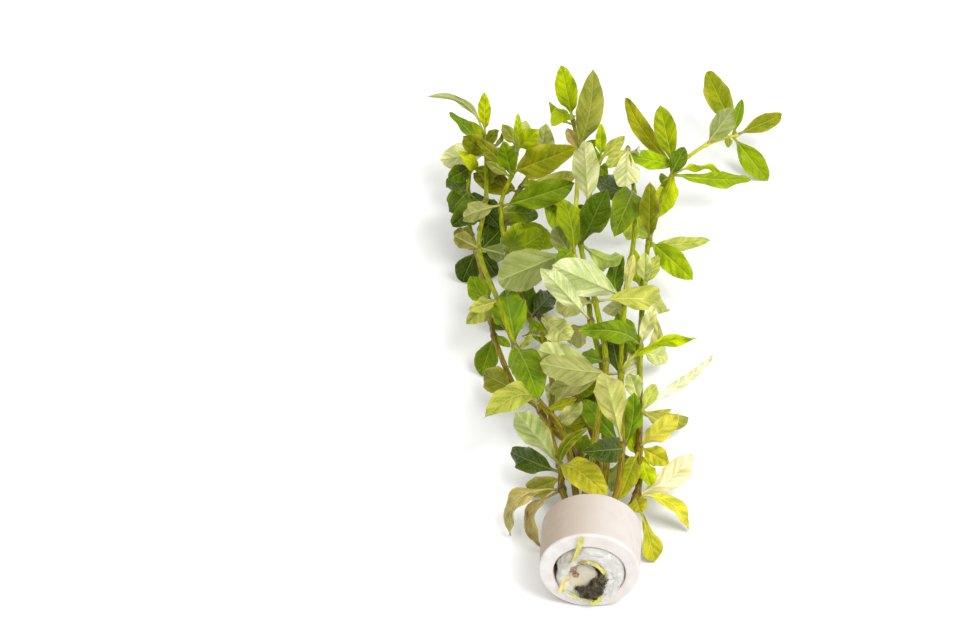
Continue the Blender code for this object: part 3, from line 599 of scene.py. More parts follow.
def seen(column, row, height):
    """The point at a height above the surface, in metres, that the camera sees at a column and a row."""
    ray = sight(column, row)
    return EYE + ray * ((height - EYE.z) / ray.z)


def face_seen(column, row, out):
    """The point that the camera sees at a column and a row, so many millimetres out from the ring's face."""
    ray = sight(column, row)
    return EYE + ray * ((face_point(0, 0, out) - EYE).dot(RING_AXIS) / ray.dot(RING_AXIS))


# A stem is a list of places from the ring to its growing tip. Bore is its cut end, across, up and in from
# the middle of the ring's face. Seen is a bend, and Joint is where leaves grow. A leaf is given by where its
# tip is seen, whether it leans to the eye or away, its real length and width, its colour, its turn in degrees
# (0 shows its upper side, 180 its underside), how far it arches and sways, and the share of its length where
# it is widest. A joined leaf is small, young or hidden. All lengths are in millimetres.
LEAF_SHARES = (0, 0.1, 0.28, 0.56, 0.82, 1)
JOINED_SHARES = (0, 0.22, 0.62, 1)
Bore = namedtuple("Bore", "across up cut")
Seen = namedtuple("Seen", "column row height")
Joint = namedtuple("Joint", "column row height leaves")
Leaf = namedtuple("Leaf", "column row lean length width turn arch sway widest tone joined shares")

NEAR = -1
FAR = 1


def leaf(column, row, lean, length, width, tone, turn=0, arch=2, sway=0, widest=0.54):
    """A grown leaf, which is a solid of its own."""
    return Leaf(column, row, lean, length, width, turn, arch, sway, widest, tone, False, LEAF_SHARES)


def joined(column, row, lean, length, width, tone, turn=0, arch=1, sway=0, widest=0.54):
    """A small leaf, which is one solid with its stem."""
    return Leaf(column, row, lean, length, width, turn, arch, sway, widest, tone, True, JOINED_SHARES)


STEMS = {}
# low on the left, brown near the ring
STEMS["a"] = [
    Bore(-4.9, -0.3, 0.1),
    Joint(562, 489, 14, [
        leaf(511, 536, FAR, 36, 8.5, "tan", turn=50, arch=9),
        leaf(544, 551, FAR, 34, 8, "tan", turn=60, arch=8),
    ]),
    Joint(560, 466, 16, [
        leaf(515, 412, NEAR, 31, 9, "pale", turn=165),
        leaf(607, 497, NEAR, 27, 10, "mustard", turn=-20, arch=4),
        joined(588, 429, NEAR, 16, 3.5, "khaki", sway=-3),
        leaf(511, 452, FAR, 26, 8, "deep"),
        joined(527, 492, FAR, 20, 7, "khaki"),
    ]),
    Joint(541, 412, 15.5, [
        leaf(484, 418, NEAR, 30, 10.5, "sage", turn=50, arch=8),
        joined(577, 399, FAR, 16, 3.5, "olive"),
        joined(518, 424, FAR, 18, 7, "dark"),
    ]),
    Joint(516, 389, 14, [
        joined(484, 374, FAR, 18, 9, "khaki"),
    ]),
    Joint(494, 336, 13, [
        joined(511, 347, NEAR, 9, 3, "green"),
        joined(481, 376, FAR, 24, 8, "moss"),
    ]),
    Joint(489, 302, 12, [
        leaf(466, 324, NEAR, 24, 8, "pale", arch=4),
        joined(505, 330, FAR, 18, 8, "dark"),
        joined(470, 276, NEAR, 14, 8, "fresh"),
    ]),
    Joint(476, 250, 12, [
        joined(462, 282, FAR, 26, 9, "deep"),
        joined(496, 276, FAR, 24, 8, "deep"),
        joined(458, 228, FAR, 18, 7, "khaki"),
        joined(503, 227, FAR, 20, 9, "deep"),
    ]),
    Seen(468, 218, 12),
    Joint(468, 192, 13, [
        joined(449, 212, NEAR, 26, 9, "dark"),
        joined(500, 228, NEAR, 30, 10, "deep"),
        joined(450, 177, FAR, 18, 8, "dark"),
    ]),
    Joint(470, 168, 14, [
        joined(448, 180, NEAR, 14, 7, "dark"),
        joined(500, 172, NEAR, 22, 8, "khaki"),
        joined(458, 150, NEAR, 12, 5, "lime"),
    ]),
]
# green, in front on the left
STEMS["b"] = [
    Bore(-3, -6.5, 6.5),
    Seen(566, 440, 13),
    Seen(534, 394, 23),
    Joint(515, 347, 24, [
        leaf(539, 400, NEAR, 28, 11.5, "green", arch=4),
        leaf(505, 290, FAR, 32, 12, "green"),
        joined(532, 335, NEAR, 9, 2.5, "pale"),
    ]),
    Joint(498, 301, 26, [
        joined(468, 310, NEAR, 14, 4.5, "pale"),
    ]),
    Joint(479, 249, 24, [
        joined(455, 236, NEAR, 14, 6, "khaki", turn=180),
        joined(504, 254, NEAR, 16, 6.5, "dark", turn=180),
    ]),
    Joint(486, 200, 18, [
        joined(452, 226, NEAR, 28, 9, "dark"),
    ]),
    Joint(486, 150, 20, [
        leaf(511, 170, NEAR, 24, 8, "olive"),
        joined(449, 112, NEAR, 19, 4.5, "green", turn=30),
        joined(463, 136, NEAR, 16, 8, "khaki"),
        joined(440, 160, NEAR, 16, 10, "silver", turn=175),
    ]),
    Joint(485, 136, 22, [
        leaf(484, 92, NEAR, 20, 4.8, "lime", widest=0.62),
        leaf(426, 97, FAR, 26, 2.8, "sage", turn=160, arch=3, sway=-5.2, widest=0.5),
        joined(503, 128, NEAR, 11, 2.5, "sage", turn=60, arch=4),
        joined(464, 122, NEAR, 12, 6, "lime"),
        joined(499, 130, NEAR, 10, 5, "khaki"),
    ]),
]
# behind the green one
STEMS["c"] = [
    Bore(-1, -3, 6),
    Joint(580, 456, 10, [
        joined(587, 434, NEAR, 12, 5, "green"),
        joined(602, 440, NEAR, 13, 4, "bright"),
        joined(568, 436, FAR, 16, 7, "dark"),
        joined(604, 470, FAR, 16, 6, "dark"),
    ]),
    Joint(553, 428, 9.5, [
        joined(582, 401, NEAR, 16, 6, "silver", turn=30),
        joined(588, 421, FAR, 16, 6, "olive"),
    ]),
    Seen(552, 380, 8),
    Joint(543, 337, 10, [
        joined(524, 336, NEAR, 14, 5, "moss", turn=120),
    ]),
    Joint(529, 317, 11, [
        joined(553, 292, FAR, 26, 8, "deep"),
        joined(546, 345, NEAR, 14, 5, "fresh"),
        joined(531, 281, FAR, 18, 8, "dark"),
    ]),
    Joint(508, 256, 17, [
        leaf(521, 222, NEAR, 22, 9, "fresh", arch=3),
        joined(545, 232, FAR, 22, 9, "fresh"),
    ]),
    Joint(501, 206, 24, [
        leaf(464, 217, NEAR, 27, 7, "sage", turn=170),
        leaf(575, 183, NEAR, 27, 9.5, "moss", turn=10),
        joined(538, 214, FAR, 20, 8, "moss"),
    ]),
    Joint(513, 172, 26.5, [
        leaf(577, 147, NEAR, 30, 11, "olive", widest=0.42),
        joined(478, 140, FAR, 22, 5, "khaki"),
        joined(503, 141, NEAR, 18, 7, "green"),
        joined(486, 162, NEAR, 12, 3.5, "pale"),
    ]),
    Joint(518, 145, 28, [
        joined(518, 113, NEAR, 13, 2.8, "lime"),
        joined(502, 124, NEAR, 13, 5, "sage"),
        joined(538, 129, NEAR, 14, 7.5, "lime"),
        joined(526, 120, FAR, 16, 8, "silver", turn=20),
        joined(506, 152, NEAR, 12, 6, "green"),
    ]),
]
# lowest, in the middle
STEMS["d"] = [
    Bore(4, -6.5, 7),
    Seen(597, 450, 7),
    Joint(570, 385, 7, [
        joined(600, 430, FAR, 26, 9, "bright"),
        joined(548, 402, FAR, 26, 9, "silver"),
        joined(598, 384, NEAR, 14, 7, "bright"),
    ]),
    Joint(541, 318, 7, [
        joined(571, 340, NEAR, 30, 9, "silver"),
        joined(519, 300, FAR, 26, 8, "dark"),
    ]),
    Seen(510, 258, 9),
    Joint(505, 222, 13, [
        joined(556, 246, NEAR, 20, 9, "fresh"),
        joined(480, 236, NEAR, 14, 8, "dark"),
        joined(520, 206, NEAR, 12, 8, "pale"),
    ]),
    Joint(521, 187, 18, [
        leaf(559, 238, NEAR, 30, 9, "fresh", turn=-50, arch=6),
        joined(569, 214, NEAR, 28, 8, "bright", turn=-40, arch=5),
        joined(473, 173, FAR, 20, 9, "khaki"),
        joined(577, 173, FAR, 22, 7, "pale"),
    ]),
    Joint(541, 160, 22, [
        leaf(546, 123, NEAR, 20, 8, "silver"),
        joined(528, 140, NEAR, 12, 5, "bright"),
        joined(560, 152, NEAR, 12, 5, "yellow"),
    ]),
]
# tall in the middle, light green with a brown tip
STEMS["e"] = [
    Bore(1, 1.5, 4),
    Seen(606, 470, 18),
    Seen(603, 415, 17),
    Joint(603, 372, 18, [
        leaf(537, 350, NEAR, 29, 9, "pale", turn=175),
        joined(580, 430, FAR, 28, 9, "dark"),
        joined(548, 391, FAR, 24, 7, "silver"),
    ]),
    Joint(591, 321, 20, [
        leaf(541, 268, NEAR, 28, 7.5, "silver", turn=175),
        joined(569, 343, FAR, 24, 8, "silver"),
    ]),
    Seen(588, 300, 21),
    Joint(573, 251, 25, [
        leaf(498, 281, NEAR, 34, 14, "sage", turn=178, widest=0.6),
        joined(555, 264, NEAR, 20, 6, "green"),
        joined(553, 226, NEAR, 17, 7, "sage", turn=170),
        joined(563, 200, FAR, 28, 9, "fresh"),
    ]),
    Seen(574, 230, 26),
    Seen(577, 190, 28),
    Joint(578, 150, 30, [
        leaf(593, 69, NEAR, 32, 9.5, "sage", sway=1.5, widest=0.5),
        joined(567, 128, NEAR, 9, 4, "tan"),
        joined(597, 140, NEAR, 9, 4, "green"),
    ]),
    Joint(573, 120, 32, [
        leaf(561, 65, NEAR, 24, 8, "bright", widest=0.58),
        leaf(551, 126, NEAR, 18, 7.5, "bright", turn=45, arch=5),
        joined(549, 101, FAR, 11, 4, "lime", turn=40),
        joined(588, 111, NEAR, 11, 3.5, "bright", turn=-50, arch=4),
    ]),
]
# beside it on the right
STEMS["f"] = [
    Bore(-2.5, 5, 4),
    Seen(591, 470, 22),
    Seen(598, 420, 23),
    Joint(606, 362, 24, [
        joined(582, 356, FAR, 16, 6, "green"),
    ]),
    Joint(595, 301, 25, [
        leaf(667, 309, FAR, 30, 9.5, "pale", turn=-25, arch=4),
        joined(556, 309, FAR, 26, 8, "silver"),
    ]),
    Joint(581, 245, 26, [
        leaf(607, 189, NEAR, 30, 10, "dark", widest=0.58),
        leaf(622, 257, NEAR, 26, 7.5, "bright", turn=150, arch=4, sway=-1),
    ]),
    Joint(588, 203, 28, [
        leaf(584, 140, NEAR, 31, 9.5, "silver", turn=180, widest=0.42),
        joined(560, 226, FAR, 24, 9, "dark"),
    ]),
    Seen(594, 178, 28),
    Joint(601, 158, 29, [
        joined(601, 123, NEAR, 16, 4, "lime"),
        joined(625, 136, NEAR, 14, 5, "pale"),
        joined(586, 168, NEAR, 8, 3, "bright"),
        joined(588, 143, FAR, 10, 3.5, "green"),
        joined(608, 175, NEAR, 10, 5, "moss"),
    ]),
]
# straight, right of the middle
STEMS["g"] = [
    Bore(3.5, 5, 4),
    Seen(617, 492, 22),
    Joint(622, 444, 22, [
        leaf(604, 373, NEAR, 30, 9.5, "yellow", turn=175, widest=0.6),
        joined(583, 400, FAR, 30, 8, "green"),
        # Painted shade: this leaf is given the darkest tone for the deep shade it lies in.
        joined(582, 452, NEAR, 28, 8, "deep", arch=4),
        joined(634, 392, FAR, 28, 7, "green"),
        joined(612, 492, FAR, 26, 6, "pale"),
    ]),
    Joint(621, 373, 22, [
        leaf(540, 363, NEAR, 31, 10.5, "sage", turn=175, widest=0.58),
        leaf(699, 338, NEAR, 32, 3.8, "lime", turn=30, sway=-5.5, widest=0.7),
        joined(611, 335, FAR, 26, 9, "deep"),
        joined(636, 336, FAR, 26, 8, "white"),
    ]),
    Joint(625, 298, 23, [
        leaf(552, 265, NEAR, 29, 12, "silver", turn=180, widest=0.58),
        joined(633, 254, NEAR, 16, 3.5, "yellow", turn=180),
        joined(624, 256, FAR, 17, 6, "dark", sway=-3),
        joined(602, 311, FAR, 16, 6, "milky"),
    ]),
    Seen(634, 237, 25),
    Joint(634, 192, 27, [
        leaf(614, 237, NEAR, 26, 11, "moss", arch=5, widest=0.48),
        leaf(640, 238, FAR, 26, 12, "lime", arch=4),
        joined(597, 181, FAR, 30, 9, "dark"),
    ]),
    Joint(628, 148, 29, [
        # Partly painted highlight: the silver tone here is partly the pale underside and partly the gloss on
        # it.
        leaf(626, 187, NEAR, 26, 9.5, "silver", turn=180, arch=5),
        joined(605, 168, NEAR, 12, 5, "pale"),
        joined(637, 150, NEAR, 6, 3.5, "white"),
    ]),
]
# on the right, ends in the cluster at the far right
STEMS["h"] = [
    Bore(7, 0, 4),
    Joint(637, 494, 13, [
        leaf(692, 453, FAR, 27, 7.8, "cream", sway=1.6, widest=0.5),
        leaf(689, 531, FAR, 26, 5.8, "yellow", turn=-40, arch=4, sway=-1.8),
        joined(655, 562, FAR, 25, 7, "mustard", turn=-25, arch=2, sway=0.3, widest=0.78),
        joined(641, 513, NEAR, 13, 6.5, "mustard"),
    ]),
    Joint(639, 447, 16, [
        joined(679, 413, NEAR, 22, 7, "gold", turn=20),
        joined(669, 463, NEAR, 20, 6.5, "yellow"),
        joined(619, 499, NEAR, 26, 6.5, "olive"),
        joined(651, 487, NEAR, 18, 6, "bright"),
        joined(626, 418, FAR, 18, 6, "lime"),
        joined(624, 456, FAR, 14, 6, "green"),
    ]),
    Joint(640, 404, 16, [
        leaf(714, 354, FAR, 33, 3.4, "white", sway=1.6, widest=0.4),
        joined(630, 373, NEAR, 14, 6, "silver"),
        joined(689, 418, FAR, 21, 6, "sage", sway=2.5),
        joined(672, 409, FAR, 15, 3.5, "mustard", sway=2),
        joined(656, 384, FAR, 12, 4.5, "pale"),
    ]),
    Joint(640, 346, 16, [
        leaf(578, 331, NEAR, 30, 7.5, "green", turn=-20, arch=4, sway=3),
        joined(655, 303, NEAR, 18, 4.5, "milky"),
        joined(668, 358, FAR, 17, 7, "silver"),
        joined(655, 316, NEAR, 15, 4, "silver", sway=4),
        joined(618, 312, FAR, 20, 8, "green"),
    ]),
    Joint(644, 285, 16, [
        joined(645, 252, NEAR, 14, 5.5, "silver"),
        joined(658, 255, FAR, 14, 5, "pale"),
        joined(634, 248, FAR, 16, 6, "fresh"),
    ]),
    Joint(649, 241, 18, [
        leaf(650, 182, NEAR, 25, 7, "khaki"),
        leaf(693, 280, NEAR, 24, 8.5, "bright"),
        joined(711, 240, FAR, 26, 5, "pale", turn=20),
    ]),
    Seen(662, 200, 19),
    Joint(677, 168, 19, [
        joined(625, 157, NEAR, 25, 7, "bright", turn=20),
        leaf(626, 97, FAR, 33, 6.5, "olive", sway=-2),
        leaf(660, 105, NEAR, 25, 8, "fresh", widest=0.62),
        leaf(657, 218, NEAR, 24, 8, "lime"),
        leaf(751, 179, FAR, 30, 6, "fresh", turn=20),
        joined(722, 172, NEAR, 18, 4, "bright", turn=40),
        joined(685, 147, FAR, 10, 6, "dark"),
        joined(660, 182, NEAR, 9, 5.5, "moss"),
    ]),
    Joint(706, 145, 16, [
        joined(733, 108, NEAR, 17, 9, "sage", turn=160),
    ]),
    Joint(737, 135, 12, [
        leaf(707, 72, FAR, 30, 9.5, "olive"),
        leaf(782, 115, FAR, 19, 6.5, "khaki"),
        leaf(768, 181, FAR, 24, 8.5, "fresh"),
        joined(742, 99, NEAR, 13, 4, "green"),
        joined(728, 148, NEAR, 6, 3, "pale"),
    ]),
]

# How old each stem looks at even steps from the ring to its tip: 1 is brown, 0 green and -1 pale yellow
STEM_AGES = {
    "a": (1.1, 0.85, 0.9, 0.6, 0.4), "b": (1.0, 0.5, 0.15, 0.1), "c": (1.1, 0.6, 0.3),
    "d": (1.1, 0.7, 0.4), "e": (1.0, 0.7, 0.4, 0.3, -0.7, -0.8, 0.8),
    "f": (1.1, 0.5, 0.3, 0.1, -0.1), "g": (0.9, 0.75, 0.1, 0.2, 0.1),
    "h": (0.9, 1.0, 0.8, -0.1, -0.1, 0.45, -0.5, -1.0),
}


def place(spot):
    """The point in space of one entry of a stem. A stem's first entry is its cut end in the ring."""
    if isinstance(spot, Bore):
        return face_point(spot.across, spot.up, -spot.cut)
    return seen(spot.column, spot.row, spot.height * MM)


def stem_route(spots):
    """The points that a stem goes through: its cut end, its way out of the ring, then its places."""
    way_out = face_point(spots[0].across, spots[0].up, -RING_LENGTH / MM)
    return [place(spots[0]), way_out] + [place(spot) for spot in spots[1:]]


def curve_point(route, span, share):
    """A point of the smooth curve through a route, some share of the way along one span."""
    before = route[max(span - 1, 0)]
    start = route[span]
    end = route[span + 1]
    after = route[min(span + 2, len(route) - 1)]
    leave = (end - before) / 2
    arrive = (after - start) / 2
    square = share * share
    cube = square * share
    return (
        start * (2 * cube - 3 * square + 1)
        + leave * (cube - 2 * square + share)
        + end * (3 * square - 2 * cube)
        + arrive * (cube - square)
    )


def stem_radius(along, spans):
    """The stem's radius some spans along it, for it grows thinner to its tip."""
    return STEM_RADIUS + (TIP_RADIUS - STEM_RADIUS) * along / spans


def stem_direction(spots, index):
    """The way a stem runs at one of its joints."""
    route = stem_route(spots)
    return (route[min(index + 2, len(route) - 1)] - route[index]).normalized()


def pair_places(spots):
    """Where a stem's pairs of leaves grow: at each joint, and closer behind it where it has more pairs."""
    places = []
    for index, spot in enumerate(spots):
        if isinstance(spot, Joint):
            back = stem_direction(spots, index) * PAIR_SPACING
            places += [(place(spot) - back * pair, pair) for pair in range((len(spot.leaves) + 1) // 2)]
    return places


def blended(values, share):
    """The value at a share of the way through a row of values."""
    at = share * (len(values) - 1)
    index = min(int(at), len(values) - 2)
    return values[index] + (values[index + 1] - values[index]) * (at - index)


def stem_line(name, spots):
    """The stem's middle line as a mesh of edges, with how thick, how old and how near a joint it is."""
    route = stem_route(spots)
    spans = len(route) - 1
    pairs = pair_places(spots)
    rows = []
    run = 0
    for span in range(spans):
        steps = math.ceil((route[span + 1] - route[span]).length / STEM_STEP)
        for step in range(steps + (span == spans - 1)):
            point = curve_point(route, span, step / steps)
            rows.append((point, stem_radius(span + step / steps, spans)))
    bud = (route[-1] - route[-2]).normalized() * BUD_LENGTH
    for share, size in BUD_OUTLINE:
        rows.append((route[-1] + bud * share, TIP_RADIUS * size))
    thick, age, close, runs = [], [], [], []
    for index, (point, radius) in enumerate(rows):
        run += (point - rows[max(index - 1, 0)][0]).length
        near = 0
        for middle, pair in pairs:
            away = (point - middle).length / (JOINT_HALF_LENGTH * (0.75 if pair == 0 else 0.5))
            near = max(near, math.exp(-(away**2)) * (1 if pair == 0 else 0.6))
        thick.append(radius * (1 + (JOINT_SWELLING - 1) * near))
        close.append(near)
        runs.append(run)
        age.append(blended(STEM_AGES[name], index / len(rows)))
    mesh = bpy.data.meshes.new(f"line_{name}")
    mesh.from_pydata([point for point, radius in rows], [(i, i + 1) for i in range(len(rows) - 1)], [])
    for label, values in (("thick", thick), ("age", age), ("near_joint", close), ("run", runs)):
        mesh.attributes.new(label, "FLOAT", "POINT").data.foreach_set("value", values)
    return mesh


def named(tree, name, kind="FLOAT"):
    """A named attribute of the geometry."""
    return add(tree, "GeometryNodeInputNamedAttribute", {"Name": name}, data_type=kind)


def stored(geometry, name, value, kind="FLOAT", domain="POINT"):
    """The geometry with a value stored on it under a name."""
    inputs = {"Geometry": geometry, "Name": name, "Value": value}
    return add(geometry.tree, "GeometryNodeStoreNamedAttribute", inputs, data_type=kind, domain=domain)


def stem_tree():
    """Makes a stem's skin along its middle line: a square section with round corners, slightly rough."""
    tree, given = new_growth(
        "stem_skin", sides="int", squareness="float", roughness="float", material="material"
    )
    line = add(tree, "GeometryNodeMeshToCurve", {0: given["Geometry"]})
    circle = add(tree, "GeometryNodeCurvePrimitiveCircle", {"Resolution": given["sides"], "Radius": 1.0})
    circle = stored(circle, "round", add(tree, "GeometryNodeSplineParameter", output="Factor"))
    corner = maths("COSINE", named(tree, "round") * (4 * math.tau))
    position = add(tree, "GeometryNodeInputPosition")
    square = position * (corner * given["squareness"] + 1.0)
    tube = add(tree, "GeometryNodeCurveToMesh", {
        "Curve": line, "Scale": named(tree, "thick"), "Fill Caps": True,
        "Profile Curve": add(tree, "GeometryNodeSetPosition", {"Geometry": circle, "Position": square}),
    })
    push = (cloud(position, 1.3 * MM, 3) - 0.5) * given["roughness"]
    tube = add(tree, "GeometryNodeSetPosition", {
        "Geometry": tube, "Offset": add(tree, "GeometryNodeInputNormal") * push
    })
    end_growth(add(tree, "GeometryNodeSetShadeSmooth", {0: tube}), given["material"])
    return tree


def attribute(shader, name, output="Fac"):
    """A named attribute of the mesh that a shader is on."""
    return add(shader.id_data, "ShaderNodeAttribute", output=output, attribute_name=name)


def stem_material():
    """A stem's smooth skin: yellow-green, brown where it is old, darker and purple at its joints with a
    pale scar across each, and finely streaked along its length."""
    made, shader, place = new_material("stem_skin")
    around = attribute(shader, "round") * math.tau
    streak_place = placed(maths("COSINE", around), maths("SINE", around), attribute(shader, "run") * 90)
    streaks = cloud(streak_place, 1 / 3.2, 3)
    old = attribute(shader, "age") + (cloud(place, 7 * MM, 3) * 0.9 - 0.45)
    near = attribute(shader, "near_joint")
    streaked = fade(streaks, 0.35, 0.65)
    pale = mixed(streaked, (0.44, 0.46, 0.01), (0.64, 0.64, 0.07))
    fresh = mixed(streaked, (0.135, 0.17, 0), (0.34, 0.38, 0))
    brown = mixed(streaked, (0.105, 0.068, 0.004), (0.33, 0.23, 0.006))
    colour = mixed(fade(old, -0.7, -0.15), pale, fresh)
    colour = mixed(fade(old, 0.25, 0.8), colour, brown)
    purple = fade(near, 0.3, 0.95) * fade(old, -0.3, 0.7)
    colour = mixed(purple * 0.85, colour, (0.085, 0.042, 0.028))
    colour = mixed(fade(near, 0.955, 0.985) * 0.45, colour, (0.50, 0.46, 0.20))
    specks = fade(cloud(place, 0.5 * MM, 2), 0.66, 0.74)
    fill(shader, {
        "Base Color": mixed(specks * 0.45, colour, (0.10, 0.07, 0.03)), "Roughness": streaks * 0.3 + 0.24,
        "Specular IOR Level": 0.25, "Specular Tint": (1, 0.97, 0.5, 1),
    })
    soften(shader, 0.12, (1.0, 0.9, 0.3), 0.8 * MM)
    raise_surface(shader, streaks, 0.07 * MM, 0.7)
    return made


STEM_SKIN = stem_tree()
stem_skin = stem_material()
for name, spots in STEMS.items():
    stalk = grown(f"stalk_{name}", stem_line(name, spots), STEM_SKIN, {
        "sides": 20, "squareness": 0.06, "roughness": 0.16 * MM, "material": stem_skin
    })
    put_home(f"stalk_{name}", stalk, "stem", f"stem_{name}")

# The leaves: thin soft ovals on short stalks, in pairs at the joints, each folded a little along its midrib
# and quilted between its side veins, glossy green above and pale below. None passes through another leaf, a
# stem or the ring: each is moved as little as needed from where the camera sees it.
LEAF_THICKNESS = 0.6 * MM
LEAF_FOLD = 0.2
PETIOLE_WIDTH = 1.0 * MM
PETIOLE_SHARE = 0.06
BLADE_FULLNESS = 0.7
TIP_WIDTH = 0.5 * MM
LOWEST_TIP = 0.5 * MM
ROOTED_SHARE = 0.3
GAP = 0.35 * MM
MARGIN = 0.25 * MM
SHORTEST = 0.7
LONGEST = 1.25
LEAST_SPREAD = 0.25
SAME_STEM_WEIGHT = 0.001
SLIDE_STEP = 1.5 * MM
LIFT_STEP = 1.2 * MM
TURN_STEP = 14
SWING_STEP = 30
Move = namedtuple("Move", "slide lift turn swing")
STEPS = sorted(
    itertools.product(range(-8, 9), range(-3, 4), range(-2, 3), range(-2, 3)),
    key=lambda steps: sum(map(abs, steps)),
)
MOVES = [Move(a * SLIDE_STEP, b * LIFT_STEP, c * TURN_STEP, d * SWING_STEP) for a, b, c, d in STEPS]
Blade = namedtuple("Blade", "base bend tip normal width widest")
Obstacle = namedtuple("Obstacle", "tree low high owner")
Laid = namedtuple("Laid", "name stem shape blade joint")


def tube_loops(sections, sides):
    """Loops of points round a row of (point, radius), turned as little as possible from one to the next."""
    loops = []
    side = VIEW_RIGHT
    for index, (point, radius) in enumerate(sections):
        before = sections[max(index - 1, 0)][0]
        after = sections[min(index + 1, len(sections) - 1)][0]
        along = (after - before).normalized()
        side = (side - along * side.dot(along)).normalized()
        other = along.cross(side)
        loop = []
        for step in range(sides):
            angle = math.tau * step / sides
            loop.append(point + (side * math.cos(angle) + other * math.sin(angle)) * radius)
        loops.append(loop)
    return loops


def stem_sections(spots):
    """The plain solid's cross-sections along a stem, as (point, radius), thicker at each joint."""
    route = stem_route(spots)
    spans = len(route) - 1
    joints = {index + 1 for index, spot in enumerate(spots) if isinstance(spot, Joint)}
    sections = []
    for span in range(spans):
        length = (route[span + 1] - route[span]).length
        near = min(JOINT_HALF_LENGTH / length, 0.3)
        shares = {0: span in joints}
        if length > LONG_SPAN:
            shares |= {0.36: False, 0.68: False}
        elif length > SHORT_SPAN:
            shares |= {0.5: False}
        if span in joints:
            shares[near] = False
        if span + 1 in joints:
            shares[1 - near] = False
        for share in sorted(shares):
            radius = stem_radius(span + share, spans) * (JOINT_SWELLING if shares[share] else 1)
            sections.append((curve_point(route, span, share), radius))
    bud = (route[-1] - route[-2]).normalized() * BUD_LENGTH
    return sections + [(route[-1], TIP_RADIUS * JOINT_SWELLING), (route[-1] + bud, TIP_RADIUS / 2)]


def half_width(share, width, widest):
    """Half of the blade's width at a share of its length: a thin stalk, a full oval and a fine tip."""
    stalk = max(PETIOLE_WIDTH * (1 - share), TIP_WIDTH) / 2
    if share <= PETIOLE_SHARE:
        return stalk
    along = (share - PETIOLE_SHARE) / (1 - PETIOLE_SHARE)
    shift = math.log(0.5) / math.log(widest)
    oval = max(math.sin(math.pi * along**shift), 0) ** BLADE_FULLNESS
    return max(stalk, width / 2 * oval)


def lay_blade(shape, joint, along_stem, out, move):
    """Where a leaf lies: its tip on its line of sight at its real length, slid along that line by move.slide,
    its arch made higher, its turn changed and its base swung round the stem. out is the distance of its
    base from the middle of the stem."""
    ray = sight(shape.column, shape.row).normalized()
    nearest = EYE + ray * (joint - EYE).dot(ray)
    missing = (nearest - joint).length
    reach = math.sqrt(max((shape.length * MM) ** 2 - missing**2, 0))
    tip = nearest + ray * (shape.lean * reach + move.slide)
    if tip.z < LOWEST_TIP:
        tip = seen(shape.column, shape.row, LOWEST_TIP)
    chord = (tip - joint).normalized()
    facing = (chord * ray.dot(chord) - ray).normalized()
    right = chord.cross(facing)
    turn = math.radians(shape.turn + move.turn)
    normal = facing * math.cos(turn) + right * math.sin(turn)
    across = right * math.cos(turn) - facing * math.sin(turn)
    outward = chord - along_stem * chord.dot(along_stem)
    if outward.length < LEAST_SPREAD:
        outward = facing - along_stem * facing.dot(along_stem)
    outward = Matrix.Rotation(math.radians(move.swing), 3, along_stem) @ outward.normalized()
    base = joint + outward * out
    bend = (base + tip) / 2 + normal * 2 * (shape.arch * MM + move.lift) + across * 2 * shape.sway * MM
    return Blade(base, bend, tip, normal, shape.width * MM, shape.widest)


def blade_loops(blade, shares, margin=0):
    """Four-sided cross-sections of the plain leaf: two edges, and the midrib's upper and lower side."""
    loops = []
    for share in shares:
        rest = 1 - share
        point = blade.base * rest**2 + blade.bend * (2 * share * rest) + blade.tip * share**2
        along = ((blade.bend - blade.base) * rest + (blade.tip - blade.bend) * share).normalized()
        normal = (blade.normal - along * blade.normal.dot(along)).normalized()
        across = along.cross(normal)
        half = half_width(share, blade.width, blade.widest)
        edge = across * (half + margin)
        fold = normal * (half * LEAF_FOLD / 2)
        thick = normal * (LEAF_THICKNESS * (1 - 0.5 * share) / 2 + margin)
        middle = point - fold
        loops.append([point - edge + fold, middle + thick, point + edge + fold, middle - thick])
    return loops


def obstacle(points, faces, owner=None):
    """Something that leaves keep clear of. owner is the stem that it is one solid with."""
    low = Vector(map(min, zip(*points)))
    high = Vector(map(max, zip(*points)))
    return Obstacle(BVHTree.FromPolygons(points, faces), low, high, owner)


def obstacle_of(loops, owner=None):
    """The obstacle that a row of loops makes when it is skinned."""
    return obstacle([point for loop in loops for point in loop], skin_faces(len(loops), len(loops[0])), owner)


def within(thing, middle, reach):
    """Whether something comes within reach of a point along every axis."""
    return all(
        thing.low[axis] - reach < middle[axis] < thing.high[axis] + reach for axis in range(3)
    )


def settle(shape, joint, along_stem, out, stem, taken):
    """Moves a leaf as little as needed to be clear of all whose place is taken."""
    name, own_tube = stem
    reach = LONGEST * shape.length * MM
    things = [thing for thing in taken if within(thing, joint, reach) and thing.owner != (name, "stem")]
    best = None
    for move in MOVES:
        blade = lay_blade(shape, joint, along_stem, out, move)
        length = (blade.tip - blade.base).length / (shape.length * MM)
        if move.slide and not SHORTEST < length < LONGEST:
            continue
        fat = blade_loops(blade, shape.shares, MARGIN)
        body = obstacle_of(fat)
        touched = 0
        for thing in things:
            weight = SAME_STEM_WEIGHT if shape.joined and thing.owner == (name, "leaf") else 1
            touched += weight * len(body.tree.overlap(thing.tree))
        if not shape.joined:
            touched += len(obstacle_of(blade_loops(blade, shape.shares)).tree.overlap(own_tube.tree))
        if body.low.z < 0:
            touched += 1
        if best is None or touched < best[0]:
            best = (touched, blade)
        if not touched:
            break
    return best[1]


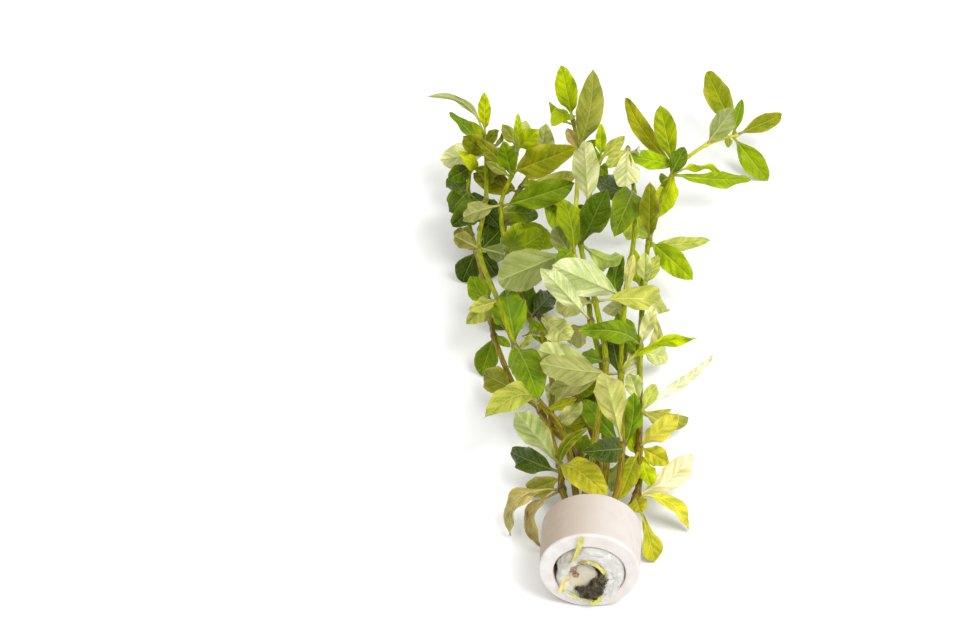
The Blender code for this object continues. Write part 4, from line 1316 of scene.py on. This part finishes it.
def lay_out(fixed):
    """Every leaf in its place, clear of the stems, of what is fixed and of other leaves. The leaves that
    are solids of their own come first, so that the small joined ones make way for them."""
    tubes = {
        name: obstacle_of(tube_loops(stem_sections(spots), STEM_SIDES), (name, "stem"))
        for name, spots in STEMS.items()
    }
    taken = list(fixed) + list(tubes.values())
    leaves = []
    for joined_ones in (False, True):
        for name, spots in STEMS.items():
            for index, spot in enumerate(spots):
                if not isinstance(spot, Joint):
                    continue
                direction = stem_direction(spots, index)
                radius = stem_radius(index + 1, len(spots)) * JOINT_SWELLING
                for number, shape in enumerate(spot.leaves):
                    if shape.joined != joined_ones:
                        continue
                    joint = place(spot) - direction * (number // 2) * PAIR_SPACING
                    out = radius * ROOTED_SHARE if shape.joined else radius + GAP
                    blade = settle(shape, joint, direction, out, (name, tubes[name]), taken)
                    loops = blade_loops(blade, shape.shares)
                    taken.append(obstacle_of(loops, (name, "leaf") if shape.joined else None))
                    leaves.append(Laid(f"leaf_{name}{index}_{number + 1}", name, shape, blade, joint))
    return leaves


def solid_obstacle(node):
    """A solid of the frame as an obstacle, moved back to where the leaves are laid out."""
    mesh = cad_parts[node].data
    back = HOME.inverted()
    corners = [back @ corner.co for corner in mesh.vertices]
    return obstacle(corners, [tuple(face.vertices) for face in mesh.polygons])


leaves = lay_out([solid_obstacle("ceramic_ring")])

# What each colour of leaf looks like: its upper side, its underside, and how old it is from 0 to 1
BLADE_BULK = 0.15 * MM
MIDRIB_HEIGHT = 0.45 * MM
VEIN_SPACING = 3.7
QUILTING = 0.09 * MM
LEAF_ROWS = 58
YOUNG_LEAF_ROWS = 40
LEAF_COLUMNS = 37
Tone = namedtuple("Tone", "upper under old")
TONES = {
    "deep": Tone((0.025, 0.055, 0), (0.12, 0.15, 0.03), 0.1),
    "dark": Tone((0.06, 0.115, 0), (0.18, 0.22, 0.05), 0.1),
    "moss": Tone((0.10, 0.165, 0), (0.24, 0.28, 0.07), 0.1),
    "green": Tone((0.14, 0.235, 0), (0.34, 0.42, 0.10), 0),
    "khaki": Tone((0.165, 0.19, 0.001), (0.27, 0.26, 0.06), 0.35),
    "fresh": Tone((0.215, 0.30, 0), (0.36, 0.44, 0.10), 0.05),
    "olive": Tone((0.235, 0.26, 0.001), (0.34, 0.34, 0.08), 0.4),
    "sage": Tone((0.29, 0.31, 0.04), (0.35, 0.37, 0.12), 0.15),
    "tan": Tone((0.35, 0.29, 0.09), (0.42, 0.36, 0.15), 0.7),
    "bright": Tone((0.32, 0.42, 0), (0.42, 0.50, 0.10), 0.05),
    "pale": Tone((0.38, 0.41, 0.07), (0.49, 0.52, 0.19), 0.15),
    "mustard": Tone((0.44, 0.42, 0.015), (0.44, 0.42, 0.08), 0.4),
    "lime": Tone((0.43, 0.53, 0), (0.52, 0.58, 0.10), 0.05),
    "silver": Tone((0.54, 0.57, 0.18), (0.70, 0.73, 0.35), 0.1),
    "yellow": Tone((0.63, 0.60, 0.03), (0.60, 0.58, 0.17), 0.35),
    "gold": Tone((0.76, 0.76, 0.09), (0.78, 0.76, 0.25), 0.2),
    "milky": Tone((0.74, 0.77, 0.38), (0.80, 0.82, 0.55), 0.05),
    "white": Tone((0.63, 0.65, 0.40), (0.80, 0.82, 0.58), 0.05),
    "cream": Tone((0.76, 0.70, 0.40), (0.84, 0.79, 0.50), 0.2),
}


def parted(vector):
    """The three parts of a vector."""
    first = add(vector.tree, "ShaderNodeSeparateXYZ", {0: vector})
    return [first, first.other("Y"), first.other("Z")]


def between(mask, first, second):
    """The first number where the mask is 0 and the second where it is 1."""
    return add(mask.tree, "ShaderNodeMix", {0: mask, 2: first, 3: second}, data_type="FLOAT")


def bell(value, spread):
    """1 where a value is 0, and falling off on both sides of it."""
    share = value / spread
    return maths("EXPONENT", share * share * -1.0)


def vein_start(run, out, left):
    """Where on the midrib the side vein through a place would start, all in millimetres."""
    return run - (out * 1.3 + out * out * 0.05) + left * 0.7


def leaf_tree():
    """Makes a leaf on every point of a mesh, from the base, bend, tip and so on that are stored on the
    point. A leaf is a grid whose long side runs from base to tip and whose other side runs across the
    upper side from edge to edge and back across the underside, so that it closes on itself."""
    tree, given = new_growth(
        "leaf_blades", rows="int", columns="int", bulk="float", fold="float", midrib="float",
        quilting="float", spacing="float", material="material"
    )
    grid = add(tree, "GeometryNodeMeshGrid", {
        "Size X": 1.0, "Size Y": 2.0, "Vertices X": given["rows"], "Vertices Y": given["columns"]
    }, "Mesh")
    down, round_it, flat = parted(add(tree, "GeometryNodeInputPosition"))
    whole = stored(grid, "share", down + 0.5)
    whole = stored(whole, "lap", round_it)
    whole = stored(whole, "UVMap", grid.other("UV Map"), "FLOAT2", "CORNER")
    whole = stored(whole, "underside", round_it > 0.0, "FLOAT", "FACE")
    whole = add(tree, "GeometryNodeInstanceOnPoints", {"Points": given["Geometry"], "Instance": whole})
    whole = add(tree, "GeometryNodeRealizeInstances", {0: whole})

    share, lap, shift, width, length, wave, seed = (
        named(tree, label) for label in ("share", "lap", "shift", "width", "length", "wave", "seed")
    )
    base, bend, tip, facing = (
        named(tree, label, "FLOAT_VECTOR") for label in ("base", "bend", "tip", "facing")
    )
    rest = 1.0 - share
    middle = base * (rest * rest) + bend * (rest * share * 2.0) + tip * (share * share)
    along = maths("NORMALIZE", (bend - base) * rest + (tip - bend) * share)
    normal = maths("NORMALIZE", facing - along * maths("DOT_PRODUCT", facing, along))
    across = maths("CROSS_PRODUCT", along, normal)

    even = 1.0 - abs(lap) * 2.0
    left = maths("SIGN", even)
    edge = abs(even) ** 1.35
    below = lap > 0.0
    blade = fade(share, 0.03, 0.16)
    grow = maths("MAXIMUM", (share - PETIOLE_SHARE) / (1 - PETIOLE_SHARE), 0.0)
    sine = maths("MAXIMUM", maths("SINE", grow**shift * math.pi), 0.0)
    oval = sine ** (grow * -0.32 + 1.0) * (width * 0.5)
    stalk = (share * -0.7 + 1.0) * (PETIOLE_WIDTH / 2)
    start_closed = maths("SQRT", maths("MINIMUM", share * 60.0, 1.0))
    closed = start_closed * maths("SQRT", maths("MINIMUM", rest * 16.0, 1.0))
    ragged = cloud(placed(share * 11.0, left * 3.0, seed), 1.0)
    half = maths("MAXIMUM", oval, stalk) * (closed * ((ragged - 0.5) * 0.16 + 1.0))
    aside = edge * left * half

    square = edge * edge
    lens = 1.0 - square * square
    round_part = maths("SQRT", maths("MAXIMUM", 1.0 - square, 0.0))
    thick = between(blade, round_part * stalk, lens * given["bulk"]) * (1.0 - below * 2.0)
    rib = between(below, given["midrib"] * 0.3, given["midrib"] * (share * -0.8 + 1.0))
    rib = rib * lens * bell(aside, 0.42 * MM) * blade
    valley = (edge * 1.5 - square * 0.75 - 0.35) * (half * given["fold"]) * blade

    run = share * length * 1000.0
    vein = vein_start(run, abs(aside) * 1000.0, left)
    inner = fade(edge, 0.04, 0.25) * fade(edge, 1.0, 0.7)
    pads = maths("COSINE", vein * math.tau / given["spacing"]) * given["quilting"] * (inner * blade)

    ripple = maths("SINE", share * 15.0 + (seed * 2.3 + left)) * (wave * (square * edge))
    flat_place = middle + across * aside
    drift = (cloud(flat_place, 9 * MM, 1) - 0.5) * wave * (edge * 1.6 + 0.4)
    bumps = (cloud(flat_place, 1.4 * MM) - 0.5) * (0.12 * MM)
    loose = (ripple + drift + bumps) * blade
    lift = (thick - rib - pads + loose) * closed + valley

    whole = add(tree, "GeometryNodeSetPosition", {"Geometry": whole, "Position": flat_place + normal * lift})
    whole = stored(whole, "blade", placed(run, aside * 1000.0, edge), "FLOAT_VECTOR")
    whole = add(tree, "GeometryNodeFlipFaces", {0: whole})
    whole = add(tree, "GeometryNodeMergeByDistance", {"Geometry": whole, "Distance": 0.004 * MM})
    whole = add(tree, "GeometryNodeSetShadeSmooth", {0: whole})
    whole = add(tree, "GeometryNodeSetShadeSmooth", {
        "Geometry": whole, "Selection": (edge > 0.98) * blade, "Shade Smooth": False
    }, domain="EDGE")
    end_growth(whole, given["material"])
    return tree


def tinted(colour, tint):
    """A colour times another."""
    return mixed(1.0, colour, tint, "MULTIPLY")


def leaf_material():
    """A leaf's skin. The upper side is glossy, with veins paler than the tissue between them and pale patches
    of painted sheen. The underside is pale and satin with darker veins. On both sides the tone is patchy,
    partly the leaf's own and partly painted light and shade. Old leaves have yellow edges and brown spots."""
    made, shader, place = new_material("leaf_skin")
    run, aside, edge = parted(attribute(shader, "blade", "Vector"))
    under, old, seed, length = (
        attribute(shader, label) for label in ("underside", "old", "seed", "length")
    )
    out = abs(aside)
    share = run / (length * 1000.0)
    flat = placed(run, aside, seed * 7.0)

    wobble = cloud(flat, 1 / 0.45)
    vein = vein_start(run, out, maths("SIGN", aside)) + (wobble * 1.2 - 0.6)
    phase = maths("FRACT", vein / VEIN_SPACING)
    away = maths("MINIMUM", phase, 1.0 - phase) * VEIN_SPACING
    breadth = edge * -0.14 + 0.24
    side_veins = fade(away, breadth, breadth * 0.25) * fade(edge, 0.97, 0.7) * fade(share, 0.98, 0.85)
    rib_breadth = share * -0.34 + 0.5
    midrib = fade(out, rib_breadth, rib_breadth * 0.45)
    veins = maths("MAXIMUM", midrib, side_veins * 0.75)
    cells = add(shader.id_data, "ShaderNodeTexVoronoi", {
        "Vector": flat, "Scale": 1.15, "Randomness": 0.9
    }, "Distance", feature="DISTANCE_TO_EDGE")
    net = fade(cells, 0.10, 0.02) * fade(out, 0.2, 0.9)

    # Partly painted light and shade: the patches make both sides darker and lighter along the veins and in
    # broad spots, partly the leaf's own uneven tone and partly light glancing off its waves.
    grain = cloud(placed(vein * 0.4, aside * 0.13, seed), 1.0, 3)
    patches = fade(grain * 0.65 + cloud(place, 7 * MM) * 0.35, 0.32, 0.68)
    # Painted sheen: pale patches that are mixed into the upper side below.
    painted_sheen = fade(cloud(place, 3.2 * MM, 2, 0.6), 0.55, 0.75)
    fine = cloud(flat, 1 / 3.5, 3)
    speckled = fade(fine, 0.3, 0.75)
    upper = attribute(shader, "upper", "Color")
    top = mixed(patches, tinted(upper, (0.56, 0.63, 0.36)), tinted(upper, (1.24, 1.19, 1.3)))
    top = mixed(speckled, top, tinted(top, (1.3, 1.2, 1.3)))
    paler = mixed(0.28, tinted(top, (1.5, 1.42, 2.0)), (0.62, 0.66, 0.16))
    # The first mask paints sheen. The veins and the net of cells are the leaf's own.
    for mask in (painted_sheen * 0.12, veins * 0.62, net * 0.22):
        top = mixed(mask, top, paler)
    lower = attribute(shader, "under", "Color")
    low = mixed(patches, tinted(lower, (0.66, 0.73, 0.50)), tinted(lower, (1.16, 1.12, 1.3)))
    low = mixed(speckled, low, tinted(low, (1.12, 1.1, 1.15)))
    darker = tinted(low, (0.52, 0.64, 0.32))
    for mask in (side_veins * 0.75, net * 0.25):
        low = mixed(mask, low, darker)
    low = mixed(midrib * 0.6, low, (0.50, 0.55, 0.16))
    colour = mixed(under, top, low)

    blotches = cloud(flat, 1 / 0.22, 4)
    worn = fade(edge, 0.55, 1.0) * fade(blotches, 0.35, 0.6) * fade(old, 0.0, 0.6)
    colour = mixed(worn * 0.7, colour, (0.52, 0.42, 0.06))
    brown = fade(blotches, 0.60, 0.66) * fade(old, 0.2, 0.8)
    colour = mixed(brown * 0.6, colour, (0.16, 0.085, 0.03))
    spots = fade(cloud(place, 0.8 * MM), 0.70, 0.76) * fade(old, 0.1, 0.9)
    colour = mixed(spots, colour, (0.12, 0.07, 0.03))
    colour = mixed(fade(run, 3.5, 0.5) * 0.5, colour, (0.30, 0.24, 0.07))
    fill(shader, {
        "Base Color": colour, "Roughness": fine * 0.16 + (under * 0.20 + 0.17),
        "Specular IOR Level": 0.13, "Specular Tint": (0.95, 1, 0.5, 1),
    })
    soften(shader, 0.12, (0.9, 1.0, 0.25), 1.0 * MM)
    height = (under * 2.0 - 1.0) * veins * 0.8 + fine * 0.35 - net * 0.18
    raise_surface(shader, height + cloud(place, 2.6 * MM, 1) * 2.6, 0.10 * MM, 0.8)
    return made


LEAF_BLADES = leaf_tree()
leaf_skin = leaf_material()


def leaf_points(name, rows):
    """The points that leaves grow from, one for each (blade, tone, number), with all that shapes a leaf."""
    mesh = bpy.data.meshes.new(name)
    mesh.from_pydata([blade.base for blade, tone, number in rows], [], [])
    vectors_of = {"base": [], "bend": [], "tip": [], "facing": []}
    values_of = {"width": [], "shift": [], "length": [], "wave": [], "seed": [], "old": []}
    colours_of = {"upper": [], "under": []}
    for blade, tone, number in rows:
        look = TONES[tone]
        length = (blade.tip - blade.base).length
        chance = noise(Vector((number * 1.37, 0.5, 0.2)))
        warmth = noise(Vector((0.3, number * 2.11, 0.7)))
        vectors_of["base"].extend(blade.base)
        vectors_of["bend"].extend(blade.bend)
        vectors_of["tip"].extend(blade.tip)
        vectors_of["facing"].extend(blade.normal)
        values_of["width"].append(blade.width)
        values_of["shift"].append(math.log(0.5) / math.log(blade.widest))
        values_of["length"].append(length)
        values_of["wave"].append(min(length * 0.035, 1.1 * MM) * (1 + 0.5 * chance))
        values_of["seed"].append(number * 0.618 % 10)
        values_of["old"].append(look.old)
        for label, colour in (("upper", look.upper), ("under", look.under)):
            red, green, blue = colour
            bright = 1 + 0.22 * chance
            colours_of[label] += (red * bright * (1 + 0.12 * warmth), green * bright, blue * bright, 1)
    for label, values in vectors_of.items():
        mesh.attributes.new(label, "FLOAT_VECTOR", "POINT").data.foreach_set("vector", values)
    for label, values in values_of.items():
        mesh.attributes.new(label, "FLOAT", "POINT").data.foreach_set("value", values)
    for label, values in colours_of.items():
        mesh.attributes.new(label, "FLOAT_COLOR", "POINT").data.foreach_set("color", values)
    return mesh


def grown_leaves(name, rows, fineness):
    """The mesh of all the leaves of a list."""
    return grown(name, leaf_points(name, rows), LEAF_BLADES, {
        "rows": fineness, "columns": LEAF_COLUMNS, "bulk": BLADE_BULK, "fold": LEAF_FOLD * 1.2,
        "midrib": MIDRIB_HEIGHT, "quilting": QUILTING, "spacing": VEIN_SPACING, "material": leaf_skin,
    })


def rooted(laid):
    """A leaf's blade with its stalk let into the stem."""
    return laid.blade._replace(base=laid.joint + (laid.blade.base - laid.joint) * ROOTED_SHARE)


young = {name: [] for name in STEMS}
for number, laid in enumerate(leaves):
    if laid.shape.joined:
        young[laid.stem].append((laid.blade, laid.shape.tone, number))
    else:
        blade = grown_leaves(f"blade_{laid.name}", [(rooted(laid), laid.shape.tone, number)], LEAF_ROWS)
        put_home(laid.name.replace("leaf", "blade"), blade, "leaf", laid.name)
for name, rows in young.items():
    blades = grown_leaves(f"young_leaves_{name}", rows, YOUNG_LEAF_ROWS)
    put_home(f"young_leaves_{name}", blades, "leaf", f"stem_{name}")

# The root clump: dark rotted roots and stem ends, matted into ragged lumps that hang out of the wool over
# the ring's lower rim, with loose root threads all over them. One cut stem end beside it is reddish brown.
Lump = namedtuple("Lump", "column row out radii")
CLUMP = (
    Lump(592.5, 591.5, 0.7, (2.4, 2.5, 1.5)),
    Lump(587.5, 593, 0.6, (1.9, 1.5, 1.2)),
    Lump(597, 585.5, 0.4, (1.8, 2.0, 1.4)),
    Lump(602.5, 579, 0.1, (1.15, 2.4, 1.1)),
    Lump(582, 588.8, 0.4, (1.6, 0.8, 0.8)),
    Lump(593.5, 582.5, 0.0, (0.7, 1.6, 0.8)),
)
STEM_END = (
    Lump(573.5, 569.5, 0.35, (0.9, 1.2, 0.5)),
    Lump(575.8, 574.8, 0.3, (0.95, 1.0, 0.45)),
)
CLUMP_FREE_OUT = 0.3
CLUMP_REACH = 10.1
BORE_MIDDLE = RING_FACE - UP * BORE_DROP


def lumpy(name, lumps, raggedness):
    """Overlapping lumps in and out of the bore, their surface broken by coarse and fine hollows."""
    whole = bmesh.new()
    for lump in lumps:
        made = bmesh.ops.create_icosphere(whole, subdivisions=5, radius=1)["verts"]
        middle = face_seen(lump.column, lump.row, lump.out)
        for corner in made:
            where = corner.co + middle / MM
            rough = 0.26 * noise(where * 1.9) + 0.22 * noise(where * 4.5) + 0.12 * noise(where * 11)
            rough = 1 + raggedness * rough
            across, up, out = (share * rough * radius for share, radius in zip(corner.co, lump.radii))
            place = middle + (RING_ACROSS * across + UP * up - RING_AXIS * out) * MM - BORE_MIDDLE
            if place.dot(-RING_AXIS) < CLUMP_FREE_OUT * MM:
                aside = place - RING_AXIS * place.dot(RING_AXIS)
                place -= aside * (1 - min(1, CLUMP_REACH * MM / aside.length))
            corner.co = BORE_MIDDLE + place
    return smooth_mesh(name, whole)


def root_material():
    """Wet rotted roots: near black in the hollows, grey, brown and olive on the ridges."""
    made, shader, place = new_material("rotted_roots")
    colour = mixed(fade(cloud(place, 1.2 * MM, 4), 0.38, 0.62), (0.035, 0.024, 0.012), (0.22, 0.165, 0.10))
    colour = mixed(fade(cloud(place, 2.2 * MM, 3), 0.52, 0.66), colour, (0.22, 0.185, 0.15))
    colour = mixed(fade(cloud(place, 2.9 * MM, 3, 1), 0.58, 0.72), colour, (0.32, 0.28, 0.06))
    grain = cloud(place, 0.35 * MM, 4, 1)
    colour = mixed(fade(grain, 0.55, 0.40), colour, (0.05, 0.035, 0.02))
    fill(shader, {"Base Color": colour, "Roughness": grain * 0.5 + 0.35})
    raise_surface(shader, grain, 0.2 * MM)
    return made


def stem_end_material():
    """A rotted cut: reddish brown, wet, with darker fibres."""
    made, shader, place = new_material("cut_stem_end")
    grain = cloud(place, 0.6 * MM, 4, 1)
    colour = mixed(fade(grain, 0.35, 0.65), (0.17, 0.075, 0.025), (0.42, 0.26, 0.14))
    fill(shader, {"Base Color": colour, "Roughness": grain * 0.3 + 0.3})
    raise_surface(shader, grain, 0.12 * MM)
    return made


root_brown = root_material()
clump = lumpy("clump", CLUMP, 1.0)
roots = grown("roots", clump.copy(), THREADS, {
    "density": 2.6e6, "length": 2.2 * MM, "thickness": 0.07 * MM, "height": 0.4 * MM, "seed": 11,
    "material": root_brown,
})
matted = gathered("root_mat", clump, roots)
matted.materials.append(root_brown)
put_home("root_mat", matted, "root", "root_clump")
stem_end = lumpy("stem_end", STEM_END, 0.7)
stem_end.materials.append(stem_end_material())
put_home("stem_end", stem_end, "stem")

# The old leaves: thin ragged ribbons of rotted leaf. One hangs over the ring's front rim on to the wool, and
# the others lie in it, curled round the hollow and the roots. Each is listed as the camera sees it: the
# columns and rows it passes, how far out from the ring's face and how wide it is there in millimetres.
Strand = namedtuple("Strand", "tone spots")
STRIP = Strand((0.56, 0.55, 0.09), (
    (581.5, 537.5, 0.9, 1.5), (580.6, 541, 0.75, 1.7), (579.2, 547, 0.7, 1.35), (577.5, 551, 0.75, 1.25),
    (575.7, 556, 0.85, 1.0), (573.7, 560, 0.8, 0.8), (571, 562.3, 0.6, 0.6), (568.5, 563.5, 0.4, 0.25),
))
STRANDS = (
    Strand((0.38, 0.26, 0.05), (
        (576, 565, 0.1, 0.4), (579.5, 563, 0.6, 1.0), (584, 562.2, 0.8, 1.2), (588, 563, 0.6, 0.5),
    )),
    Strand((0.66, 0.60, 0.10), (
        (584, 561.5, 0.5, 0.4), (590, 562.3, 0.8, 1.0), (596, 564.8, 0.85, 1.1), (601, 569.2, 0.85, 1.0),
        (605, 574.5, 0.7, 1.0), (607.3, 580.5, 0.3, 0.4),
    )),
    Strand((0.84, 0.71, 0.20), (
        (567.5, 574.5, 0.3, 0.4), (564.2, 580, 0.5, 0.9), (562.5, 585, 0.65, 1.2), (560.8, 590, 0.7, 1.2),
        (560, 593.5, 0.6, 0.4),
    )),
    Strand((0.74, 0.64, 0.30), (
        (569, 576, 0.3, 0.4), (566, 583, 0.55, 0.7), (565.4, 589, 0.6, 0.6), (563, 592.5, 0.6, 0.3),
    )),
    Strand((0.62, 0.60, 0.14), (
        (568, 590, 0.4, 0.4), (572, 594, 0.7, 0.9), (577, 597.2, 0.9, 1.0), (583, 599, 1.0, 0.9),
        (588, 599.5, 0.9, 0.4),
    )),
    Strand((0.60, 0.60, 0.05), (
        (588, 601.5, 0.7, 0.5), (591, 602, 1.9, 1.5), (595, 601.5, 2.2, 1.9), (599, 599.8, 1.9, 1.5),
        (601, 596, 1.2, 0.5),
    )),
)
STRAND_THICKNESS = 0.14 * MM
STRAND_SIDES = 8


def smooth_route(spots, steps=8):
    """Places on a smooth curve through all the spots, each with its width."""
    ends = [spots[0], *spots, spots[-1]]
    route = []
    for one, two, three, four in zip(ends, ends[1:], ends[2:], ends[3:]):
        for step in range(steps):
            share = step / steps
            route.append([
                0.5 * (2 * b + (c - a) * share + (2 * a - 5 * b + 4 * c - d) * share ** 2
                       + (3 * b - a - 3 * c + d) * share ** 3)
                for a, b, c, d in zip(one, two, three, four)
            ])
    return route + [list(spots[-1])]


def ribbon(strand, number):
    """A thin closed ribbon with ragged edges, curled up a little at them, in its own tone."""
    route = smooth_route(strand.spots)
    places = [face_seen(*spot[:3]) for spot in route]
    loops = []
    for step, place in enumerate(places):
        along = (places[min(step + 1, len(places) - 1)] - places[max(step - 1, 0)]).normalized()
        lean = noise(Vector((number * 3.1, step * 0.12, 0)))
        facing = (-RING_AXIS + along.cross(RING_AXIS) * lean).normalized()
        aside = along.cross(facing).normalized()
        facing = aside.cross(along)
        loop = []
        for side in range(STRAND_SIDES * 2):
            angle = -math.tau * side / (STRAND_SIDES * 2)
            ragged = 1 + 0.35 * noise(Vector((step * 0.45, math.copysign(3, math.cos(angle)), number)))
            across = math.cos(angle) * route[step][3] * MM / 2 * ragged
            curl = 0.22 * route[step][3] * MM * (math.cos(angle) ** 2 - 0.5)
            thick = math.sin(angle) * STRAND_THICKNESS / 2
            loop.append(place + aside * across + facing * (curl + thick))
        loops.append(loop)
    mesh = skin(f"ribbon_{number}", loops)
    colours = []
    for place in mesh.vertices:
        shade = 1 + 0.25 * noise(place.co / (1.3 * MM))
        colours += (*(part * shade for part in strand.tone), 1)
    mesh.attributes.new("tone", "FLOAT_COLOR", "POINT").data.foreach_set("color", colours)
    return mesh


def strand_material():
    """Rotted leaf: wet and clear, in its strand's tone, with brown specks."""
    made, shader, place = new_material("rotted_leaf")
    specks = fade(cloud(place, 0.7 * MM, 3), 0.58, 0.7)
    colour = mixed(specks * 0.45, attribute(shader, "tone", "Color"), (0.26, 0.17, 0.05))
    grain = cloud(place, 0.3 * MM)
    fill(shader, {"Base Color": colour, "Roughness": grain * 0.25 + 0.3})
    soften(shader, 0.2, (1.0, 1.0, 0.3), 0.6 * MM)
    raise_surface(shader, grain, 0.05 * MM)
    return made


rotted_leaf = strand_material()
strip = ribbon(STRIP, 0)
strip.materials.append(rotted_leaf)
put_home("old_strip", strip, "old_leaf", "leaf_strip")
scraps = gathered("old_scraps", *(ribbon(strand, number + 1) for number, strand in enumerate(STRANDS)))
scraps.materials.append(rotted_leaf)
put_home("old_scraps", scraps, "old_leaf")

# The studio: a white floor that the bunch lies on, soft light from above, and the camera where the
# picture was taken from.
FLOOR_SIZE = 6.0


def floor_material():
    """Plain white paper with the faintest mottling."""
    made, shader, place = new_material("white_floor")
    colour = mixed(cloud(place, 0.05), (0.95, 0.95, 0.95), (0.97, 0.97, 0.97))
    fill(shader, {"Base Color": colour, "Roughness": 0.9, "Specular IOR Level": 0.1})
    return made


half = FLOOR_SIZE / 2
floor_mesh = bpy.data.meshes.new("floor")
corners = [(-half, -half, 0), (half, -half, 0), (half, half, 0), (-half, half, 0)]
floor_mesh.from_pydata(corners, [], [(0, 1, 2, 3)])
floor_mesh.materials.append(floor_material())
floor = bpy.data.objects.new("floor", floor_mesh)
bpy.context.scene.collection.objects.link(floor)


def soft_light(name, place, target, size, watts):
    """A square lamp at a place, turned to its target."""
    lamp = bpy.data.lights.new(name, "AREA")
    lamp.shape = "SQUARE"
    lamp.size = size
    lamp.energy = watts
    holder = bpy.data.objects.new(name, lamp)
    bpy.context.scene.collection.objects.link(holder)
    holder.location = place
    holder.rotation_euler = (Vector(target) - Vector(place)).to_track_quat("-Z", "Y").to_euler()


soft_light("key_light", (0.36, -0.38, 0.72), (0, 0, 0.02), 0.45, 5.6)
soft_light("fill_light", (-0.30, -0.20, 0.80), (0, 0.02, 0.02), 0.8, 2.6)
world = bpy.data.worlds.new("studio")
world.use_nodes = True
fill(world.node_tree.nodes["Background"], {"Color": (1, 1, 1, 1), "Strength": 0.66})
bpy.context.scene.world = world
bpy.context.scene.view_settings.view_transform = "Standard"

camera = bpy.data.objects.new("camera", bpy.data.cameras.new("camera"))
bpy.context.scene.collection.objects.link(camera)
camera.data.sensor_width = 36
camera.data.lens = camera.data.sensor_width * PICTURE_FOCAL / PICTURE_COLUMNS
camera.data.clip_start = 0.05
camera.data.clip_end = 20
turned = Matrix((VIEW_RIGHT, VIEW_UP, -LOOK)).transposed().to_4x4()
camera.matrix_world = HOME @ Matrix.Translation(EYE) @ turned
bpy.context.scene.camera = camera
